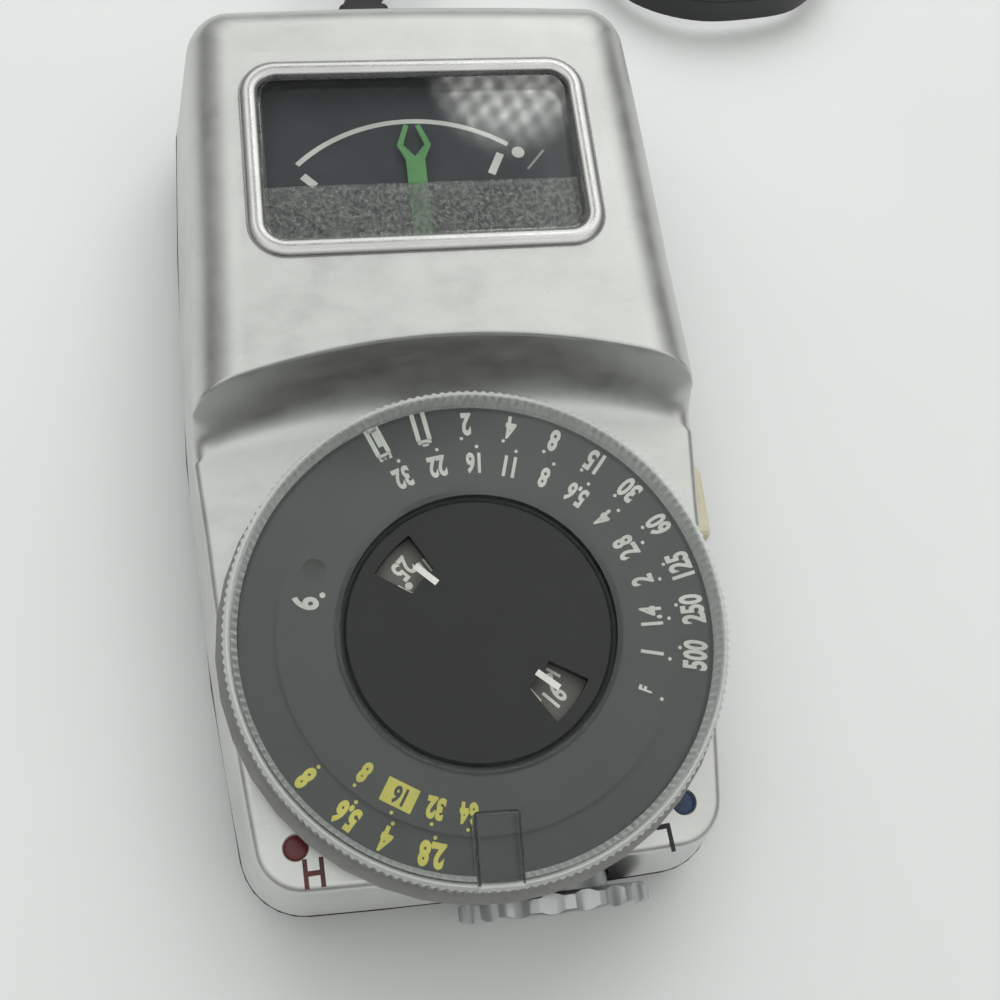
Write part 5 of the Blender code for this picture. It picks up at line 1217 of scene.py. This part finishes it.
# each row: numbers and their angles, how they are drawn, then their dots and what else goes with them
rows = {
    "shutter": {
        "places": evenly("2 4 8 15 30 60 125 250 500", 87.16, -12.42),
        "height": 2.75 * mm, "squeeze": 0.62, "weight": 0.04, "at": 23.45 * mm, "facing": 90,
        "dotAt": 21.75 * mm, "dotTurn": 1.6, "dot": 0.2 * mm,
    },
    "yellowShutter": {
        "places": [("8", 215.0), ("5.6", 228.6), ("4", 239.8), ("2.8", 251.6)],
        "height": 2.6 * mm, "squeeze": 0.66, "weight": 0.055, "at": 23.4 * mm, "facing": -90,
        "dotAt": 21.75 * mm, "dotTurn": 0.0, "dot": 0.2 * mm,
    },
    "aperture": {
        "places": evenly("32 22 16 11 8 5.6 4 2.8 2 1.4 1 F", 110.5, -12.4),
        "height": 2.5 * mm, "squeeze": 0.62, "weight": 0.04, "at": 18.6 * mm, "facing": 90,
        "dotAt": 20.55 * mm, "dotTurn": -1.2, "dot": 0.2 * mm, "smaller": {"F": 0.6},
    },
    "nine": {
        "places": [("9", 166.3)],
        "height": 2.9 * mm, "squeeze": 0.8, "weight": 0.035, "at": 18.5 * mm, "facing": 90,
        "dotAt": 16.9 * mm, "dotTurn": -3.6, "dot": 0.3 * mm,
    },
    "yellowAperture": {
        "places": [("8", 225.6), ("32", 249.7), ("64", 260.0)],
        "height": 2.3 * mm, "squeeze": 0.66, "weight": 0.055, "at": 19.0 * mm, "facing": -90,
        "dotAt": 20.6 * mm, "dotTurn": 0.0, "dot": 0.18 * mm,
    },
    "boxed": {
        "places": [("16", 238.2)],
        "height": 1.9 * mm, "squeeze": 0.7, "weight": 0.04, "at": 19.1 * mm, "facing": -90,
        "dotAt": 20.9 * mm, "dotTurn": 0.0, "dot": 0.18 * mm,
        "boxTurn": 5.2, "boxWidth": 2.5 * mm, "lift": 0.02 * mm,
    },
    "film": {
        "places": evenly("25 50 100 200 400 800 16 32 64 125 250 500", 134.0, 30.0),
        "height": 2.4 * mm, "squeeze": 0.7, "weight": 0.03, "at": 10.5 * mm, "facing": 90,
        "dotAt": 8.9 * mm, "dotTurn": 7.0, "dot": 0.42 * mm,
        "lineTurns": (-13.0, -9.0, 11.0), "lineFrom": 8.2 * mm, "lineTo": 9.9 * mm, "lineWidth": 0.32 * mm,
    },
}
# strokes in millimetres, sideways and outwards from the middle of a tag
tags = {
    "places": [(112.0, True), (99.58, False)],
    "width": 0.5 * mm,
    "outline": [((-0.62, 2.0), (-0.62, -1.35)), ((0.62, 2.0), (0.62, -1.35)), ((-0.75, -1.5), (0.75, -1.5)),
                ((-0.35, -1.85), (0.35, -1.85))],
    "filling": [((-0.1, 1.7), (-0.1, -0.4)), ((-0.5, 1.8), (0.5, 1.8)), ((-0.6, -2.1), (-0.15, -1.7)),
                ((0.15, -2.3), (0.6, -1.7))],
}


def flatRing(bore, outer, low, top):
    return spunPiece([(bore, low), (outer, low), (outer, top), (bore, top)], (*dialAt, 0), dial["steps"])


def makeDiscs():
    disc = flatRing(*dial["shutter"])
    softenEdges(disc, dial["edge"])
    finishPiece(disc, "shutter_ring", discDark, "dial", ("shutter_disc",))
    inner = flatRing(*dial["aperture"])
    place = (*dialSpot(dial["holeAt"], dial["holeAngle"]), dial["aperture"][-1])
    takeAway(inner, roundRod(dial["holeRadius"], dial["holeDepth"], place, 40))
    finishPiece(inner, "aperture_ring", discInner, "dial_cover", ("aperture_disc",))


def tagPieces(angle, filled, level):
    # a narrow tag: a thick U open to the rim, with a small point at its closed end towards the middle
    turn = math.radians(angle)
    out = Vector((math.cos(turn), math.sin(turn)))
    side = Vector((-out.y, out.x))

    def spot(x, y):
        return dialAt + out * (rows["shutter"]["at"] + y * mm) + side * (x * mm)

    strokes = tags["outline"] + (tags["filling"] if filled else [])
    return [barPiece(spot(*a), spot(*b), tags["width"], level) for a, b in strokes]


def makeNumbers():
    level = dial["shutter"][-1]
    outer = []
    for angle, filled in tags["places"]:
        outer += tagPieces(angle, filled, level)
    outer += numberRow(rows["shutter"], level)
    finishPiece(outer, "shutter_numbers", whitePrint, "dial")
    finishPiece(numberRow(rows["yellowShutter"], level), "yellow_outer_numbers", yellowPrint, "dial")
    level = dial["aperture"][-1]
    inner = numberRow(rows["aperture"], level) + numberRow(rows["nine"], level)
    finishPiece(inner, "aperture_numbers", whitePrint, "dial_cover")
    boxed = rows["boxed"]
    yellow = numberRow(rows["yellowAperture"], level)
    for words, angle in boxed["places"]:
        start, stop = (dialSpot(boxed["at"], angle + turn) for turn in (-boxed["boxTurn"], boxed["boxTurn"]))
        yellow += [barPiece(start, stop, boxed["boxWidth"], level), dialDot(boxed, angle, level)]
        number = dialNumber(boxed, words, angle, level + boxed["lift"])
        finishPiece(number, "boxed_number", darkPrint, "dial_cover")
    finishPiece(yellow, "yellow_inner_numbers", yellowPrint, "dial_cover")


# centre cap: its section steps down from the top, and its two windows are cut out
centre = {
    "top": 27.2 * mm,
    "radius": 14.3 * mm,
    "flangeRadius": 15.0 * mm,
    "flangeLow": 26.0 * mm,
    "flangeTop": 26.6 * mm,
    "chamfer": 0.3 * mm,
    "roofLow": 26.7 * mm,
    "bore": 1.7 * mm,
    "windowReach": (8.0 * mm, 12.6 * mm),
    "windowLevels": (25.85 * mm, 28.2 * mm),
    "windowSpans": [(121.0, 147.0), (303.0, 329.0)],
    "windowSteps": 16,
    "lines": [((-6.2, 7.4), (-4.0, 5.3)), ((5.4, -5.2), (7.6, -7.1))],
    "lineWidth": 0.7 * mm,
    "filmLevel": 25.7 * mm,
}


def makeCentre():
    top, radius, flange = centre["top"], centre["radius"], centre["flangeRadius"]
    low, step, roof, bore = (centre[key] for key in ("flangeLow", "flangeTop", "roofLow", "bore"))
    edge = centre["chamfer"]
    section = [(0, top), (radius - edge, top), (radius, top - edge), (radius, step), (flange, step),
               (flange, low), (bore, low), (bore, roof), (0, roof)]
    cap = spunPiece(section, (*dialAt, 0), dial["steps"])
    for span in centre["windowSpans"]:
        cutter = sweptBar(centre["windowReach"], centre["windowLevels"], span, centre["windowSteps"], dialAt)
        takeAway(cap, cutter)
    finishPiece(cap, "centre_cap", centreBlack, "dial_cover", ("centre_disc",))
    lines = barPieces(centre["lines"], centre["lineWidth"], top, dialAt)
    finishPiece(lines, "index_lines", whitePrint, "dial_cover")
    film, level = rows["film"], centre["filmLevel"]
    marks = numberRow(film, level)
    for _, angle in film["places"]:
        for turn in film["lineTurns"]:
            inwards, outwards = (dialSpot(film[key], angle + turn) for key in ("lineFrom", "lineTo"))
            marks.append(barPiece(inwards, outwards, film["lineWidth"], level))
    finishPiece(marks, "film_speed_numbers", dimPrint, "case")


clear = {
    "outer": 26.6 * mm,
    "skirtInner": 25.75 * mm,
    "skirtLow": 24.0 * mm,
    "skirtChamfer": 0.3 * mm,
    "plateLow": 26.9 * mm,
    "plateTop": 28.6 * mm,
    "rimTop": 29.3 * mm,
    "rimWidth": 1.2 * mm,
    "rimChamfer": 0.5 * mm,
    "rimSlopeTop": 0.2 * mm,
    "rimSlopeFoot": 0.35 * mm,
    "bore": 14.6 * mm,
    "boreChamfer": 0.5 * mm,
    "beads": 180,
    "beadDepth": 0.24 * mm,
    "grooveShare": 0.1,
    "tabAngle": 267.4,
    "tabHalf": 2.35 * mm,
    "tabFrom": 18.9 * mm,
    "tabTo": 26.45 * mm,
    "tabTop": 30.5 * mm,
    "tabSunk": 0.7 * mm,
    "tabRound": 0.5 * mm,
    "tabClear": 0.4 * mm,
    "tabFlattest": 0.9,
    "slack": 0.01 * mm,
}


def makeClearDial():
    outer, bore, rimTop = clear["outer"], clear["bore"], clear["rimTop"]
    rimIn, top, low = outer - clear["rimWidth"], clear["plateTop"], clear["skirtLow"]
    skirt, roof = clear["skirtInner"], clear["plateLow"]
    rimCut, boreCut, skirtCut = clear["rimChamfer"], clear["boreChamfer"], clear["skirtChamfer"]
    section = [(outer - rimCut, rimTop), (rimIn + clear["rimSlopeTop"], rimTop),
               (rimIn - clear["rimSlopeFoot"], top), (bore + boreCut, top), (bore, top - boreCut),
               (bore, roof), (skirt, roof), (skirt, low), (outer - skirtCut, low), (outer, low + skirtCut),
               (outer, rimTop - rimCut)]
    piece = spunPiece(section, steps=clear["beads"] * 2)
    edge = outer - clear["slack"]
    pitch = math.tau / clear["beads"]

    def inGroove(place):
        turn = math.atan2(place.y, place.x) / pitch
        return math.hypot(place.x, place.y) > edge and abs(turn - round(turn)) < clear["grooveShare"]

    chooseCorners(piece, inGroove)
    share = 1.0 - clear["beadDepth"] / outer
    bpy.ops.transform.resize(value=(share, share, 1.0), center_override=(0, 0, 0))
    bpy.ops.object.mode_set(mode="OBJECT")
    tabLow, tabTop = top - clear["tabSunk"], clear["tabTop"]
    size = (clear["tabTo"] - clear["tabFrom"], clear["tabHalf"] * 2, tabTop - tabLow)
    tab = squareRod(size, ((clear["tabTo"] + clear["tabFrom"]) / 2, 0, (tabTop + tabLow) / 2))
    softenEdges(tab, clear["tabRound"], 4)
    tab.rotation_euler = (0, 0, math.radians(clear["tabAngle"]))
    settlePlace(tab)
    takeAway(piece, tab, "UNION")
    piece.location = (*dialAt, 0)
    finishPiece(piece, "clear_cover", dialClear, "dial_cover", ("clear_dial",), 30)
    # the sides of the raised tab are duller than the polished faces, and their dark tint is painted shade for
    # the tab's dark edges
    piece.data.materials.append(tabEdgeShade)
    for face in piece.data.polygons:
        inside = (face.center.xy - dialAt).length < rimIn - clear["tabClear"]
        if inside and face.center.z > top + clear["slack"] and abs(face.normal.z) < clear["tabFlattest"]:
            face.material_index = 1


makeDiscs()
makeNumbers()
makeCentre()
makeClearDial()
print("dial made")

# fluted range ring
ring = {
    "place": (6.6 * mm, -55.6 * mm, 12.0 * mm),
    "radius": 10.6 * mm,
    "thick": 2.2 * mm,
    "chamfer": 0.4 * mm,
    "steps": 120,
    "flutes": 18,
    "fluteRadius": 2.9 * mm,
    "fluteDepth": 0.36 * mm,
    "fluteLength": 6 * mm,
    "fluteEdge": 0.08 * mm,
    "bore": 7.4 * mm,
    "sleeveOuter": 6.2 * mm,
    "sleeveBore": 5.2 * mm,
    "sleeveLength": 6.6 * mm,
}


def makeRing():
    top, edge, radius, sleeve = ring["thick"], ring["chamfer"], ring["radius"], -ring["sleeveLength"]
    outside, inside = ring["sleeveOuter"], ring["sleeveBore"]
    section = [(ring["bore"], top), (radius - edge, top), (radius, top - edge), (radius, edge),
               (radius - edge, 0), (outside, 0), (outside, sleeve), (inside, sleeve), (inside, edge)]
    piece = spunPiece(section, steps=ring["steps"])
    reach = radius + ring["fluteRadius"] - ring["fluteDepth"]
    cutters = []
    for k in range(ring["flutes"]):
        turn = math.tau * k / ring["flutes"]
        place = (reach * math.cos(turn), reach * math.sin(turn), top / 2)
        cutters.append(roundRod(ring["fluteRadius"], ring["fluteLength"], place, 20))
    takeAway(piece, joinPieces(cutters))
    softenEdges(piece, ring["fluteEdge"], 1, 40)
    piece.rotation_euler = (math.radians(90), 0, 0)
    piece.location = ring["place"]
    finishPiece(piece, "fluted_ring", ringSilver, "range_knob", ("range_ring",), 30)


makeRing()
print("range ring made")

# finishes of the carried pieces
carried = [
    (frostedFilm, "frosted_strip"),
    (plateGrey, "scale_plate"),
    # the base ring's dark grey is painted shade round the dial
    (shadedBaseMetal, "outer_dial"),
    (speedBlack, "film_speed_disc"),
    (lensClear, "receptor_lens"),
    (coverBlack, "rear_cover battery_cap switch_block receptor_tube"),
    (strapTip, "strap_end strap_keeper"),
    (ivoryFinish, "measure_button"),
    (trackBlack, "range_mask wiper_track"),
    (cellAmber, "light_cell"),
    (magnetGrey, "meter_yoke meter_core"),
    (copperFinish, "needle_coil"),
    (boardBrown, "circuit_board"),
    (resistorTan, "resistor_1 resistor_2"),
    (trimmerBlue, "trimmer"),
    (brassFinish, "chassis_plate upper_bridge wiper_arm battery_contact switch_leaf_1 switch_leaf_2"),
    (steelFinish, "strap_lug centre_post battery_cell battery_spring button_spring zero_screw scale_screw_1 "
                  "scale_screw_2 chassis_screw_1 chassis_screw_2 chassis_screw_3 rear_screw_1 rear_screw_2 "
                  "rear_screw_3 rear_screw_4"),
]
for finish, names in carried:
    for name in names.split():
        nodes[name].data.materials[0] = finish
print("carried pieces finished")
